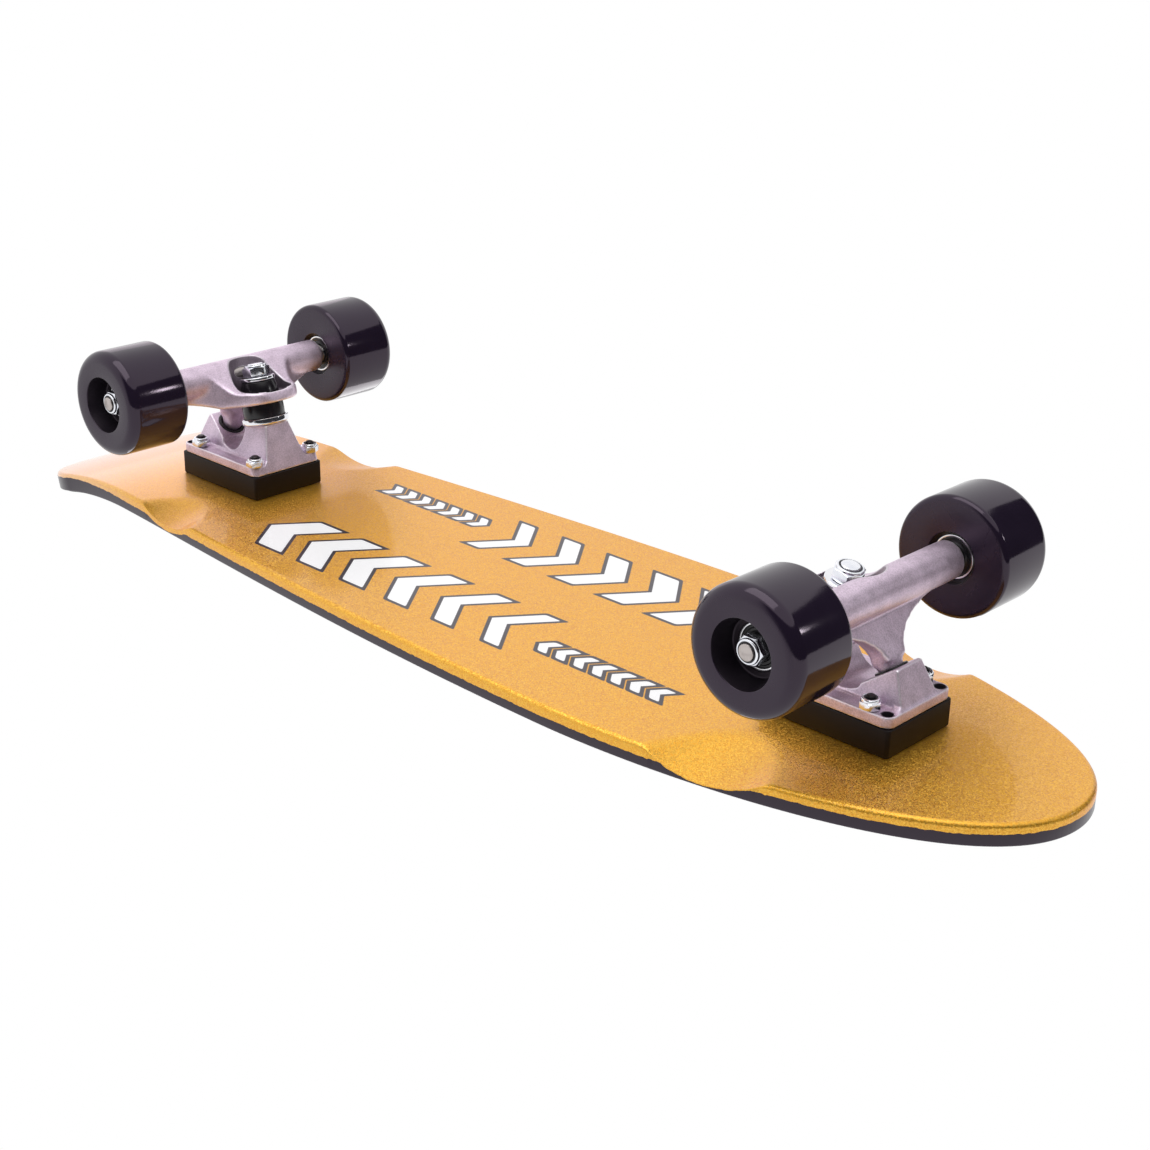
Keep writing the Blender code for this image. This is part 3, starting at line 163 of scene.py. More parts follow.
# Kingpin stack, from the baseplate's seat outwards
KINGPIN_RADIUS = 0.00476
KINGPIN_LENGTH = 0.0516
KINGPIN_HEAD_FLATS = 0.0143
KINGPIN_HEAD_HEIGHT = 0.0065
KINGPIN_GRIP_IN_BLOCK = 0.0147
LOW_WASHER_RADIUS = 0.0142
LOW_WASHER_HEIGHT = 0.0040
LOW_WASHER_THICKNESS = 0.0013
LOW_BUSHING_RADIUS = 0.0123
LOW_BUSHING_LENGTH = 0.0124
YOKE_WEB_THICKNESS = 0.0029
TOP_BUSHING_BASE_RADIUS = 0.0115
TOP_BUSHING_TIP_RADIUS = 0.0099
TOP_BUSHING_LENGTH = 0.0084
TOP_WASHER_RADIUS = 0.0105
TOP_WASHER_THICKNESS = 0.0023
KINGPIN_NUT = {"flats": 0.0143, "hex_height": 0.0056, "height": 0.0068}
BUSHING_BARREL = 0.0003
BUSHING_BORE_FLARE = 0.0012
LOCK_RING_SHARE = 0.3

# Pivot and hanger
PIVOT_MOUTH_X = 0.0231
PIVOT_MOUTH_HEIGHT = 0.0164
PIVOT_LEAN = math.radians(-35.0)
PIVOT_BALL_DEPTH = 0.0032
PIVOT_BALL_RADIUS = 0.0048
CUP_WALL = 0.0020
CUP_RIM = 0.0009
NECK_RADIUS = 0.0068
NECK_LENGTH = 0.0150
NECK_FLARE = 0.0008
NECK_SHOULDER = 0.0050
AXLE_X = 0.0118
AXLE_HEIGHT = 0.05114
TUBE_RADIUS = 0.0097
TUBE_HALF_LENGTH = 0.057
TUBE_END_ROUNDING = 0.0008
BOSS_RADIUS = 0.0066
YOKE_FRONT = 0.0195
YOKE_FRONT_HALF = 0.0135
YOKE_CORNER_BACK = 0.0165
YOKE_CORNER_HALF = 0.0226
YOKE_CORNER_PULL = Vector((0.0105, 0.0035))
YOKE_NOSE_BULGE = 0.0009
YOKE_LIP_RISE = 0.0033
YOKE_LIP_SLANT = 0.0015
YOKE_SEAT_DEPTH = 0.0012
YOKE_PLATE_BACK = 0.008
YOKE_PLATE_RISE = 0.0012
YOKE_FILLET = 0.007
YOKE_HOLE_RADIUS = 0.0070
SKIRT_BACK = 0.0340
SKIRT_HALF = 0.046
SKIRT_FULLNESS = 0.012
POCKET_FRONT = 0.0176
POCKET_BACK = 0.0119
POCKET_MIDDLE = -0.002
POCKET_HALF_WIDTH = 0.0165
POCKET_DRAFT = 0.0030
POCKET_SQUARENESS = 0.7
# How dark the painted shade in the hanger's pocket gets
POCKET_SHADE = 0.62
WEB_TUBE_DROP = 0.0091
WEB_TUBE_OFFSET = 0.0012
WEB_HALF_WIDTH = 0.052
WEB_RISE = 0.0119
WEB_SPREAD = 0.034
WEB_DROP = 0.0049
WEB_TUBE_TOP = math.radians(135.0)
WEB_UP_NECK = 0.0038
ARCH_CLEARANCE = 0.0015
ARCH_RISE = 0.0095
WEB_VOXEL = 0.0008
WEB_SMOOTHING = 26
HANGER_VOXEL = 0.00055

# Axle, bearings and wheels
AXLE_RADIUS = 0.00397
AXLE_END_CHAMFER = 0.0007
AXLE_PROJECTION = 0.0008
SPEED_WASHER_RADIUS = 0.0060
SPEED_WASHER_THICKNESS = 0.0009
AXLE_NUT = {"flats": 0.0127, "hex_height": 0.0052, "height": 0.0066}
BEARING_RADIUS = 0.011
BEARING_WIDTH = 0.007
BEARING_SPREAD = 0.010
BEARING_RACE = 0.0022
SHIELD_DEPTH = 0.0004
WHEEL_RADIUS = 0.03074
WHEEL_WIDTH = 0.03856
WHEEL_CORE_INSET = 0.0023
WHEEL_OUTER_LIP = 0.0066
WHEEL_INNER_LIP = 0.0029
WHEEL_OUTER_RECESS = 0.0162
WHEEL_INNER_RECESS = 0.0129
WHEEL_CORE_RADIUS = 0.0143
WHEEL_SHOULDER_RADIUS = 0.0088
WHEEL_INNER_GAP = 0.00175
WHEEL_RIM_EDGE = 0.0005
WHEEL_FOOT_ROUNDING = 0.001
WHEEL_SEGMENTS = 160

# Places worked out from the sizes above
MIDDLE = (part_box("front_baseplate")[1].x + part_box("rear_baseplate")[0].x) / 2
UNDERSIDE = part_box("front_riser")[1].z + SEAT_GAP
BOARD_FRAME = Matrix.Translation((MIDDLE, 0.0, UNDERSIDE))
PATTERN_X = TRUCK_SPACING / 2
NOSE_X = PATTERN_X + NOSE_REACH
TAIL_X = -PATTERN_X - TAIL_REACH
DECK_SHOULDER = DECK_THICKNESS - TOPSIDE_ROUNDING
KICK_START = -(PATTERN_X + PLATE_OUTER_REACH + RISER_MARGIN - KICK_UNDER_RISER)
HOLE_END = HOLE_SPACING_ALONG / 2
HOLE_ROWS = (-HOLE_SPACING_ACROSS / 2, HOLE_SPACING_ACROSS / 2)
BOLT_PLACES = [Vector((x, y, 0.0)) for x in (-HOLE_END, HOLE_END) for y in HOLE_ROWS]
SPARE_PLACES = [Vector((OUTER_HOLE_SPACING - HOLE_END, y, 0.0)) for y in HOLE_ROWS]
MOUNT_HOLE_RADIUS = MOUNT_BOLT_RADIUS + SEAT_GAP
MOUNT_HEAD_TOP = -RISER_HEIGHT - DECK_THICKNESS
KINGPIN_HOLE_RADIUS = KINGPIN_RADIUS + SEAT_GAP
AXLE_HOLE_RADIUS = AXLE_RADIUS + SEAT_GAP
KINGPIN_SEAT = Vector((KINGPIN_SEAT_X, 0.0, KINGPIN_SEAT_HEIGHT))
KINGPIN_FRAME = Matrix.Translation(KINGPIN_SEAT) @ Matrix.Rotation(KINGPIN_LEAN, 4, "Y")
PIVOT_TURN = Matrix.Rotation(PIVOT_LEAN, 4, "Y")
PIVOT_MOUTH = Vector((PIVOT_MOUTH_X, 0.0, PIVOT_MOUTH_HEIGHT))
PIVOT_BALL = PIVOT_MOUTH - PIVOT_TURN @ Vector((0.0, 0.0, PIVOT_BALL_DEPTH))
PIVOT_FRAME = Matrix.Translation(PIVOT_BALL) @ PIVOT_TURN
AXLE_PLACE = Matrix.Translation((AXLE_X, 0.0, AXLE_HEIGHT))
AXLE_FRAME = AXLE_PLACE @ Matrix.Rotation(-QUARTER, 4, "X")
LOW_WASHER_RIM = SEAT_GAP + LOW_WASHER_HEIGHT
LOW_BUSHING_SEAT = LOW_BUSHING_RADIUS + BUSHING_BARREL + SEAT_GAP
LOW_BUSHING_START = SEAT_GAP + LOW_WASHER_THICKNESS + SEAT_GAP
YOKE_SEAT = LOW_BUSHING_START + LOW_BUSHING_LENGTH + SEAT_GAP
YOKE_FLOOR = YOKE_SEAT + YOKE_WEB_THICKNESS
YOKE_UNDERSIDE = YOKE_SEAT - YOKE_SEAT_DEPTH
YOKE_LIP_TOP = YOKE_FLOOR + YOKE_LIP_RISE
TOP_BUSHING_START = YOKE_FLOOR + SEAT_GAP
TOP_WASHER_START = TOP_BUSHING_START + TOP_BUSHING_LENGTH + SEAT_GAP
KINGPIN_NUT_START = TOP_WASHER_START + TOP_WASHER_THICKNESS + SEAT_GAP
KINGPIN_HEAD_TOP = -KINGPIN_GRIP_IN_BLOCK - SEAT_GAP
BOSS_END = TUBE_HALF_LENGTH + WHEEL_INNER_GAP + SPEED_WASHER_THICKNESS
INNER_WASHER_START = BOSS_END + SEAT_GAP
INNER_BEARING_START = INNER_WASHER_START + SPEED_WASHER_THICKNESS + SEAT_GAP
OUTER_BEARING_START = INNER_BEARING_START + BEARING_WIDTH + BEARING_SPREAD
OUTER_WASHER_START = OUTER_BEARING_START + BEARING_WIDTH + SEAT_GAP
AXLE_NUT_START = OUTER_WASHER_START + SPEED_WASHER_THICKNESS + SEAT_GAP
AXLE_END = AXLE_NUT_START + AXLE_NUT["height"] + AXLE_PROJECTION
WHEEL_MIDDLE = INNER_BEARING_START - WHEEL_CORE_INSET + WHEEL_WIDTH / 2
CUP_CAVITY = PIVOT_BALL_RADIUS + SEAT_GAP
CUP_OUTER = NECK_RADIUS + SEAT_GAP + CUP_WALL / 2
SHIELD_OUTER = BEARING_RADIUS - BEARING_RACE / 2
SHIELD_INNER = AXLE_HOLE_RADIUS + BEARING_RACE / 2
SHIELD_FLOOR = -SHIELD_DEPTH * 3


def operator(operation, reflected=False):
    """A Python operator that adds one Math node."""

    def apply(self, other):
        return self.finish.math(operation, *((other, self) if reflected else (self, other)))

    return apply


class Signal:
    """A shader socket that Python's operators work on, adding Math nodes to its finish."""

    def __init__(self, finish, socket):
        self.finish = finish
        self.socket = socket

    def __abs__(self):
        return self.finish.math("ABSOLUTE", self)

    __add__ = operator("ADD")
    __radd__ = operator("ADD", reflected=True)
    __sub__ = operator("SUBTRACT")
    __rsub__ = operator("SUBTRACT", reflected=True)
    __mul__ = operator("MULTIPLY")
    __rmul__ = operator("MULTIPLY", reflected=True)
    __truediv__ = operator("DIVIDE")
    __gt__ = operator("GREATER_THAN")
    __lt__ = operator("LESS_THAN")


class Finish:
    """A node material and the ways to fill it."""

    def __init__(self, name, tree=None):
        if tree is None:
            self.material = bpy.data.materials.new(name)
            self.material.use_nodes = True
            tree = self.material.node_tree
        self.tree = tree
        self.shader = tree.nodes.get("Principled BSDF")

    def node(self, kind, settings=None, inputs=None, output=0):
        """Any node, given its type, its settings and its sockets' values or links."""
        made = self.tree.nodes.new("ShaderNode" + kind)
        for key, value in (settings or {}).items():
            setattr(made, key, value)
        for key, value in (inputs or {}).items():
            self.feed(made.inputs[key], value)
        return Signal(self, made.outputs[output])

    def feed(self, socket, value):
        if isinstance(value, Signal):
            self.tree.links.new(value.socket, socket)
        elif isinstance(value, tuple) and len(value) < len(socket.default_value):
            socket.default_value = (*value, 1.0)
        else:
            socket.default_value = value

    def math(self, operation, *values):
        return self.node("Math", {"operation": operation}, dict(enumerate(values)))

    def clamp(self, value):
        return self.node("Clamp", inputs={"Value": value})

    def ramp(self, value, low, high):
        """0 below low, 1 above high and a smooth way between."""
        ends = {"Value": value, "From Min": low, "From Max": high}
        return self.node("MapRange", {"interpolation_type": "SMOOTHSTEP"}, ends)

    def colour(self, share, first, second):
        """The first colour where share is 0 and the second where it is 1."""
        return self.node("Mix", {"data_type": "RGBA"}, {0: share, 6: first, 7: second}, output=2)

    def number(self, share, first, second):
        return self.node("Mix", {"data_type": "FLOAT"}, {0: share, 2: first, 3: second})

    def direction(self, share, first, second):
        inputs = {0: share, 4: first, 5: second}
        return self.node("Mix", {"data_type": "VECTOR"}, inputs, output=1)

    def vector(self, operation, *values):
        return self.node("VectorMath", {"operation": operation}, dict(enumerate(values)))

    def scaled(self, vector, factor):
        return self.node("VectorMath", {"operation": "SCALE"}, {0: vector, "Scale": factor})

    def axes(self, vector):
        outputs = self.node("SeparateXYZ", inputs={0: vector}).socket.node.outputs
        return [Signal(self, output) for output in outputs]

    def place(self):
        """Object coordinates."""
        return self.node("TexCoord", output="Object")

    def attribute(self, name, output="Fac"):
        return self.node("Attribute", {"attribute_name": name}, output=output)

    def noise(self, vector, scale, detail=2.0, roughness=0.5):
        inputs = {"Vector": vector, "Scale": scale, "Detail": detail, "Roughness": roughness}
        return self.node("TexNoise", inputs=inputs, output="Fac")

    def cells(self, vector, scale, output):
        inputs = {"Vector": vector, "Scale": scale}
        return self.node("TexVoronoi", {"feature": "F1"}, inputs, output)

    def bump(self, height, distance, strength):
        inputs = {"Height": height, "Distance": distance, "Strength": strength}
        return self.node("Bump", inputs=inputs)

    def wear(self, **sockets):
        """Sets or links the shader's sockets, named with underscores for spaces."""
        for key, value in sockets.items():
            self.feed(self.shader.inputs[key.replace("_", " ")], value)
        return self

    def see_through(self, share):
        """Shows nothing of the surface where share is 1."""
        surface = Signal(self, self.shader.outputs[0])
        clear = self.node("BsdfTransparent")
        mixed = self.node("MixShader", inputs={0: share, 1: surface, 2: clear})
        self.feed(self.tree.nodes["Material Output"].inputs["Surface"], mixed)


def bezier(start, start_handle, end_handle, end, steps):
    """Points of a cubic curve after its start, in the plane."""
    corners = [Vector(corner) for corner in (start, start_handle, end_handle, end)]
    points = []
    for step in range(1, steps + 1):
        t = step / steps
        s = 1.0 - t
        weights = (s ** 3, 3 * s * s * t, 3 * s * t * t, t ** 3)
        shares = (weight * corner for weight, corner in zip(weights, corners))
        points.append(sum(shares, Vector((0.0, 0.0))))
    return points


def sweep(level_end, upright_end):
    """Points of a curve that leaves its first end level and stands upright at its last end."""
    start = Vector(level_end)
    end = Vector(upright_end)
    pull = (end - start) * 0.6
    return bezier(start, start + Vector((pull.x, 0.0)), end - Vector((0.0, pull.y)), end, 24)


def arc(centre, radius, start, end, steps):
    """Points of a round stretch in the plane, with both ends."""
    points = []
    for step in range(steps + 1):
        angle = start + (end - start) * step / steps
        points.append(Vector(centre) + radius * Vector((math.cos(angle), math.sin(angle))))
    return points


def rounded_rectangle(low, high, radius):
    corners = (
        (high[0] - radius, high[1] - radius),
        (low[0] + radius, high[1] - radius),
        (low[0] + radius, low[1] + radius),
        (high[0] - radius, low[1] + radius),
    )
    points = []
    for turn, corner in enumerate(corners):
        points += arc(corner, radius, turn * QUARTER, (turn + 1) * QUARTER, 8)
    return points


def mirrored(points, axis):
    """The points in reverse order, on the other side of the middle line."""
    flip = Vector((1.0, 1.0))
    flip[axis] = -1.0
    return [point * flip for point in reversed(points)]


def double_ended(half):
    """A turned profile's upper half with its mirror image below it."""
    return [(radius, -height) for radius, height in reversed(half)] + half


def hexagon_corner(flats):
    return flats / 2 / math.cos(math.pi / 6)


def bevelled(bm, edges, width, steps, clamp=False):
    bmesh.ops.bevel(
        bm,
        geom=edges,
        offset=width,
        segments=steps,
        profile=0.5,
        affect="EDGES",
        clamp_overlap=clamp,
        material=-1,
    )


def finished(bm, edge=0.0, place=None):
    """The bmesh as a mesh, its sharp edges rounded by edge, moved to its place."""
    if edge:
        sharp = [e for e in bm.edges if e.is_manifold and e.calc_face_angle() > SHARP_ANGLE]
        bevelled(bm, sharp, edge, 3, clamp=True)
    if place:
        bmesh.ops.transform(bm, matrix=place, verts=bm.verts)
    mesh = bpy.data.meshes.new("mesh")
    bm.to_mesh(mesh)
    bm.free()
    return mesh


def spun(bm, geometry, angle, steps, merge):
    axis = {"axis": (0.0, 0.0, 1.0), "cent": (0.0, 0.0, 0.0)}
    bmesh.ops.spin(bm, geom=geometry, angle=angle, steps=steps, use_merge=merge, **axis)


def turned(profile, segments=ROUND_SEGMENTS, edge=0.0, place=None):
    """A profile of (radius, height) points turned about Z, closed as a ring if it starts off it."""
    bm = bmesh.new()
    verts = [bm.verts.new((radius, 0.0, height)) for radius, height in profile]
    edges = [bm.edges.new(pair) for pair in zip(verts, verts[1:])]
    if profile[0][0] > 0.0:
        edges.append(bm.edges.new((verts[-1], verts[0])))
    spun(bm, verts + edges, math.tau, segments, merge=True)
    bmesh.ops.remove_doubles(bm, verts=bm.verts, dist=MERGE_DISTANCE)
    bmesh.ops.recalc_face_normals(bm, faces=bm.faces)
    return finished(bm, edge, place)


def rod(radius, low, high, segments=ROUND_SEGMENTS, edge=0.0, place=None):
    return turned([(0.0, low), (radius, low), (radius, high), (0.0, high)], segments, edge, place)


def carried(bm, face, reach):
    """Extrudes a flat face along reach into a closed form."""
    raised = bmesh.ops.extrude_face_region(bm, geom=[face])["geom"]
    moved = [item for item in raised if isinstance(item, bmesh.types.BMVert)]
    bmesh.ops.translate(bm, verts=moved, vec=reach)
    bmesh.ops.recalc_face_normals(bm, faces=bm.faces)


def extruded(points, reach):
    bm = bmesh.new()
    carried(bm, bm.faces.new([bm.verts.new(point) for point in points]), reach)
    return bm


def sheet(outline, low, thickness):
    """A bmesh of the outline's shape, standing on z = low."""
    return extruded([(x, y, low) for x, y in outline], (0.0, 0.0, thickness))


def slab(outline, low, high, edge=0.0, place=None):
    """An outline of (x, y) points carried from z = low to z = high."""
    return finished(sheet(outline, low, high - low), edge, place)


def join(mesh):
    return ("UNION", mesh)


def cut(mesh):
    return ("DIFFERENCE", mesh)


def keep(mesh):
    return ("INTERSECT", mesh)


def voxels(size):
    return ("REMESH", {"mode": "VOXEL", "voxel_size": size})


def smoothed(rounds):
    return ("SMOOTH", {"factor": 0.5, "iterations": rounds})


def rounded(width):
    limit = {"limit_method": "ANGLE", "angle_limit": SHARP_ANGLE}
    return ("BEVEL", {"width": width, "segments": 2, **limit})


def carved(base, *steps):
    """The mesh after each step: a Boolean with a mesh, or a named modifier with its settings."""
    body = bpy.data.objects.new("body", base)
    bpy.context.scene.collection.objects.link(body)
    helpers = [body]
    for kind, value in steps:
        if isinstance(value, bpy.types.Mesh):
            helper = bpy.data.objects.new("tool", value)
            bpy.context.scene.collection.objects.link(helper)
            helpers.append(helper)
            value = {"operation": kind, "solver": "MANIFOLD", "object": helper}
            kind = "BOOLEAN"
        modifier = body.modifiers.new(kind, kind)
        for key, setting in value.items():
            setattr(modifier, key, setting)
    graph = bpy.context.evaluated_depsgraph_get()
    result = bpy.data.meshes.new_from_object(body.evaluated_get(graph))
    for helper in helpers:
        bpy.data.objects.remove(helper)
    return result


def placed(mesh, place):
    """A copy of the mesh, moved to its place."""
    copy = mesh.copy()
    copy.transform(place)
    return copy


def noted(mesh, name, values, kind="FLOAT"):
    """The mesh with one value kept at each point for its paint."""
    attribute = mesh.attributes.new(name, kind, "POINT")
    for item, value in zip(attribute.data, values):
        setattr(item, "value" if kind == "FLOAT" else "vector", value)
    return mesh


def shade_hollow(mesh, depth_in, share):
    """Notes how far each point of a casting lies in a hollow, up to the given share, as the mask of
    the painted shade in its hollows.
    """
    depths = (depth_in(vertex.co) for vertex in mesh.vertices)
    return noted(mesh, "in_hollow", [min(max(depth, 0.0), 1.0) * share for depth in depths])


def piece(name, mesh, finish, body, slot, *nodes):
    """One dressed piece on a body, in place of the CAD nodes that it stands for.

    A piece that is given two bodies, with the points where its bend would start and end, is fixed
    in place in the world instead.
    """
    mesh.shade_smooth()
    mesh.set_sharp_from_angle(angle=SHARP_ANGLE)
    mesh.materials.clear()
    mesh.materials.append(finish.material)
    mesh.name = name
    made = bpy.data.objects.new(name, mesh)
    bpy.context.scene.collection.objects.link(made)
    if isinstance(body, str):
        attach(made, body)
    else:
        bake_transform(made)
    if nodes:
        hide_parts(*nodes)


def truck_frame(end):
    """The truck's place in the world: end is 1 at the front and -1 at the rear."""
    turn = Matrix.Rotation(math.pi, 4, "X" if end > 0 else "Y")
    return BOARD_FRAME @ Matrix.Translation((end * PATTERN_X, 0.0, -RISER_HEIGHT)) @ turn


def deck_outline():
    """The deck's edge from the nose tip round the left side to the tail tip and back, laid flat."""
    nose = Vector((NOSE_X, 0.0))
    widest = Vector((PATTERN_X - WIDEST_BEHIND_FRONT_TRUCK, DECK_HALF_WIDTH))
    side_end = Vector((TAIL_X + TAIL_END_LENGTH, TAIL_HALF_WIDTH))
    tail_tip = Vector((TAIL_X, 0.0))
    nose_pull = nose + Vector((0.0, NOSE_FULLNESS))
    forward_pull = widest + Vector((FORWARD_SIDE_FULLNESS, 0.0))
    rear_pull = widest - Vector((REAR_SIDE_FULLNESS, 0.0))
    waist = side_end + Vector((TAIL_SIDE_FULLNESS, -TAIL_SIDE_WAIST))
    end_pull = side_end - Vector((TAIL_END_FULLNESS, 0.0))
    tip_pull = tail_tip + Vector((0.0, TAIL_END_FULLNESS))
    half = [nose]
    half += bezier(nose, nose_pull, forward_pull, widest, 72)
    half += bezier(widest, rear_pull, waist, side_end, 90)
    half += bezier(side_end, end_pull, tip_pull, tail_tip, 36)
    return half + mirrored(half[1:-1], 1)


def rim_edges(bm, height):
    """The edges round the flat face at one height."""

    def level(face):
        return all(abs(vert.co.z - height) < MERGE_DISTANCE for vert in face.verts)

    return [edge for face in bm.faces if level(face) for edge in face.edges]


def grid_cut(bm, spacing, axis, low, high):
    """Cuts across one axis, spacing apart, so that the sheet can bend."""
    normal = Vector((0.0, 0.0, 0.0))
    normal[axis] = 1.0
    count = round((high - low) / spacing)
    for step in range(1, count):
        plane = {"plane_co": normal * (low + (high - low) * step / count), "plane_no": normal}
        everything = bm.verts[:] + bm.edges[:] + bm.faces[:]
        bmesh.ops.bisect_plane(bm, geom=everything, dist=MERGE_DISTANCE, **plane)


def well_rise(x, y):
    """How far the leaning roller of the nearest wheel well would lift the underside."""
    radius = (WELL_HALF_LENGTH ** 2 + WELL_DEPTH ** 2) / (2 * WELL_DEPTH)
    lean = math.atan2(WELL_DEPTH, WELL_DEEPEST - WELL_INNER_END)
    offset = abs(x) - (PATTERN_X + AXLE_X - WELL_INBOARD_OF_AXLE)
    if abs(offset) >= radius:
        return -radius
    crown = (math.sqrt(radius ** 2 - offset ** 2) - radius) / math.cos(lean)
    return (abs(y) - WELL_INNER_END) * math.tan(lean) + crown


def soft_max(first, second, blend):
    """The greater of two heights, eased where they meet."""
    overlap = max(blend - abs(first - second), 0.0) / blend
    return max(first, second) + overlap * overlap * blend / 4


def kicked(point):
    """A point of the flat sheet after the tail is rolled up round the kick's radius."""
    past = KICK_START - point.x
    if past <= 0.0:
        return point.copy()
    reach = KICK_RADIUS - point.z
    angle = past / KICK_RADIUS
    x = KICK_START - reach * math.sin(angle)
    return Vector((x, point.y, KICK_RADIUS - reach * math.cos(angle)))


def gold_edge(x, well):
    """How far up the deck's side the gold paint reaches, which is farther in the wells."""
    line = GOLD_LINE_AT_NOSE if x > PATTERN_X else GOLD_LINE
    line -= min(max((KICK_START - x) / GOLD_DROP_LENGTH, 0.0), 1.0) * GOLD_LINE_DROP
    return max(line, well + (GOLD_OVER_REAR_WELL if x < 0.0 else GOLD_OVER_FRONT_WELL))


def bolt_cuts(cutter):
    """The cutter in flat board coordinates at each of the eight mounting bolts."""
    trucks = [BOARD_FRAME.inverted() @ truck_frame(end) for end in (1, -1)]
    places = [truck @ Matrix.Translation(hole) for truck in trucks for hole in BOLT_PLACES]
    return [cut(placed(cutter, place)) for place in places]


def deck_bolt_hole():
    slope = (MOUNT_HEAD_RADIUS - MOUNT_BOLT_RADIUS) / MOUNT_HEAD_DEPTH
    start = MOUNT_HEAD_TOP - OVERSHOOT
    end = -RISER_HEIGHT + OVERSHOOT
    profile = [
        (0.0, start),
        (MOUNT_HEAD_RADIUS + SEAT_GAP + slope * OVERSHOOT, start),
        (MOUNT_HOLE_RADIUS, MOUNT_HEAD_TOP + MOUNT_HEAD_DEPTH),
        (MOUNT_HOLE_RADIUS, end),
        (0.0, end),
    ]
    return turned(profile, HOLE_SEGMENTS)


def grip_bolt_hole():
    low = MOUNT_HEAD_TOP - FAR / 10
    return rod(MOUNT_HEAD_RADIUS + SEAT_GAP, low, MOUNT_HEAD_TOP, HOLE_SEGMENTS)


def deck():
    """The plank: rounded underneath, its wells sunk, its paint's places noted, then kicked."""
    bm = sheet(deck_outline(), 0.0, DECK_THICKNESS)
    bevelled(bm, rim_edges(bm, 0.0), UNDERSIDE_ROUNDING, steps=9)
    bevelled(bm, rim_edges(bm, DECK_THICKNESS), TOPSIDE_ROUNDING, steps=3)
    grid_cut(bm, DECK_GRID, 0, TAIL_X, NOSE_X)
    grid_cut(bm, DECK_GRID, 1, -DECK_HALF_WIDTH, DECK_HALF_WIDTH)
    mesh = carved(finished(bm), *bolt_cuts(deck_bolt_hole()))
    flat = []
    rise = []
    for vertex in mesh.vertices:
        point = vertex.co.copy()
        well = well_rise(point.x, point.y)
        if point.z < DECK_SHOULDER:
            point.z = min(soft_max(point.z, well, WELL_BLEND), DECK_SHOULDER)
        flat.append(point)
        rise.append(point.z - gold_edge(point.x, well))
        vertex.co = kicked(point)
    noted(mesh, "laid_flat", flat, "FLOAT_VECTOR")
    noted(mesh, "above_gold", rise)
    mesh.transform(BOARD_FRAME)
    return mesh


def grip_tape():
    """The grip sheet: the deck's outline less a margin, cut for the bolts and kicked."""
    bm = sheet(deck_outline(), DECK_THICKNESS + SEAT_GAP, GRIP_THICKNESS)
    caps = [face for face in bm.faces if abs(face.normal.z) > 0.5]
    bmesh.ops.inset_region(bm, faces=caps, thickness=TOPSIDE_ROUNDING + GRIP_MARGIN)
    top, bottom = sorted(caps, key=lambda face: -face.calc_center_median().z)
    rest = [face for face in bm.faces if face != bottom]
    bmesh.ops.delete(bm, geom=rest, context="FACES")
    bmesh.ops.delete(bm, geom=[v for v in bm.verts if not v.link_faces], context="VERTS")
    carried(bm, bottom, (0.0, 0.0, GRIP_THICKNESS))
    grid_cut(bm, DECK_GRID * 2, 0, TAIL_X, NOSE_X)
    mesh = carved(finished(bm), *bolt_cuts(grip_bolt_hole()))
    for vertex in mesh.vertices:
        vertex.co = kicked(vertex.co)
    mesh.transform(BOARD_FRAME)
    return mesh


def upright_bore(hole, radius, low, high, segments=HOLE_SEGMENTS):
    return cut(rod(radius, low, high, segments, place=Matrix.Translation(hole)))


def riser():
    half_width = PLATE_HALF_WIDTH + RISER_MARGIN
    low = (-PLATE_INNER_REACH - RISER_MARGIN, -half_width)
    high = (PLATE_OUTER_REACH + RISER_MARGIN, half_width)
    outline = rounded_rectangle(low, high, RISER_CORNER)
    block = slab(outline, -RISER_HEIGHT + SEAT_GAP, -SEAT_GAP, edge=0.0006)
    holes = BOLT_PLACES + SPARE_PLACES
    bores = [upright_bore(hole, MOUNT_HOLE_RADIUS, -FAR, OVERSHOOT) for hole in holes]
    return carved(block, *bores)


def drafted_block(profile, top_half, top_height):
    """A side profile of (x, z) points carried across the truck, widening towards the flange."""
    bm = extruded([(x, 1.0, z) for x, z in profile], (0.0, -2.0, 0.0))
    for vertex in bm.verts:
        vertex.co.y *= top_half + (top_height - vertex.co.z) * BLOCK_SIDE_DRAFT
    return finished(bm)


def kingpin_block():
    foot = Vector((-PLATE_INNER_REACH, 0.0))
    slope = math.tan(KINGPIN_BLOCK_SLOPE)
    fall = math.tan(KINGPIN_LEAN)
    seat_level = KINGPIN_SEAT_HEIGHT + KINGPIN_SEAT_X * fall
    top = (seat_level - foot.x * fall) / (1.0 + slope * fall)
    inner = KINGPIN_FRAME @ Vector((KINGPIN_BLOCK_INNER_REACH, 0.0, 0.0))
    saddle = (SADDLE_X, PLATE_THICKNESS + SADDLE_HEIGHT)
    profile = [(foot.x + OVERSHOOT * slope, OVERSHOOT), (foot.x + top * slope, top)]
    profile += reversed(sweep(saddle, (inner.x, inner.z)))
    profile += [saddle, (saddle[0], OVERSHOOT)]
    return drafted_block(profile, KINGPIN_BLOCK_TOP_HALF, top)


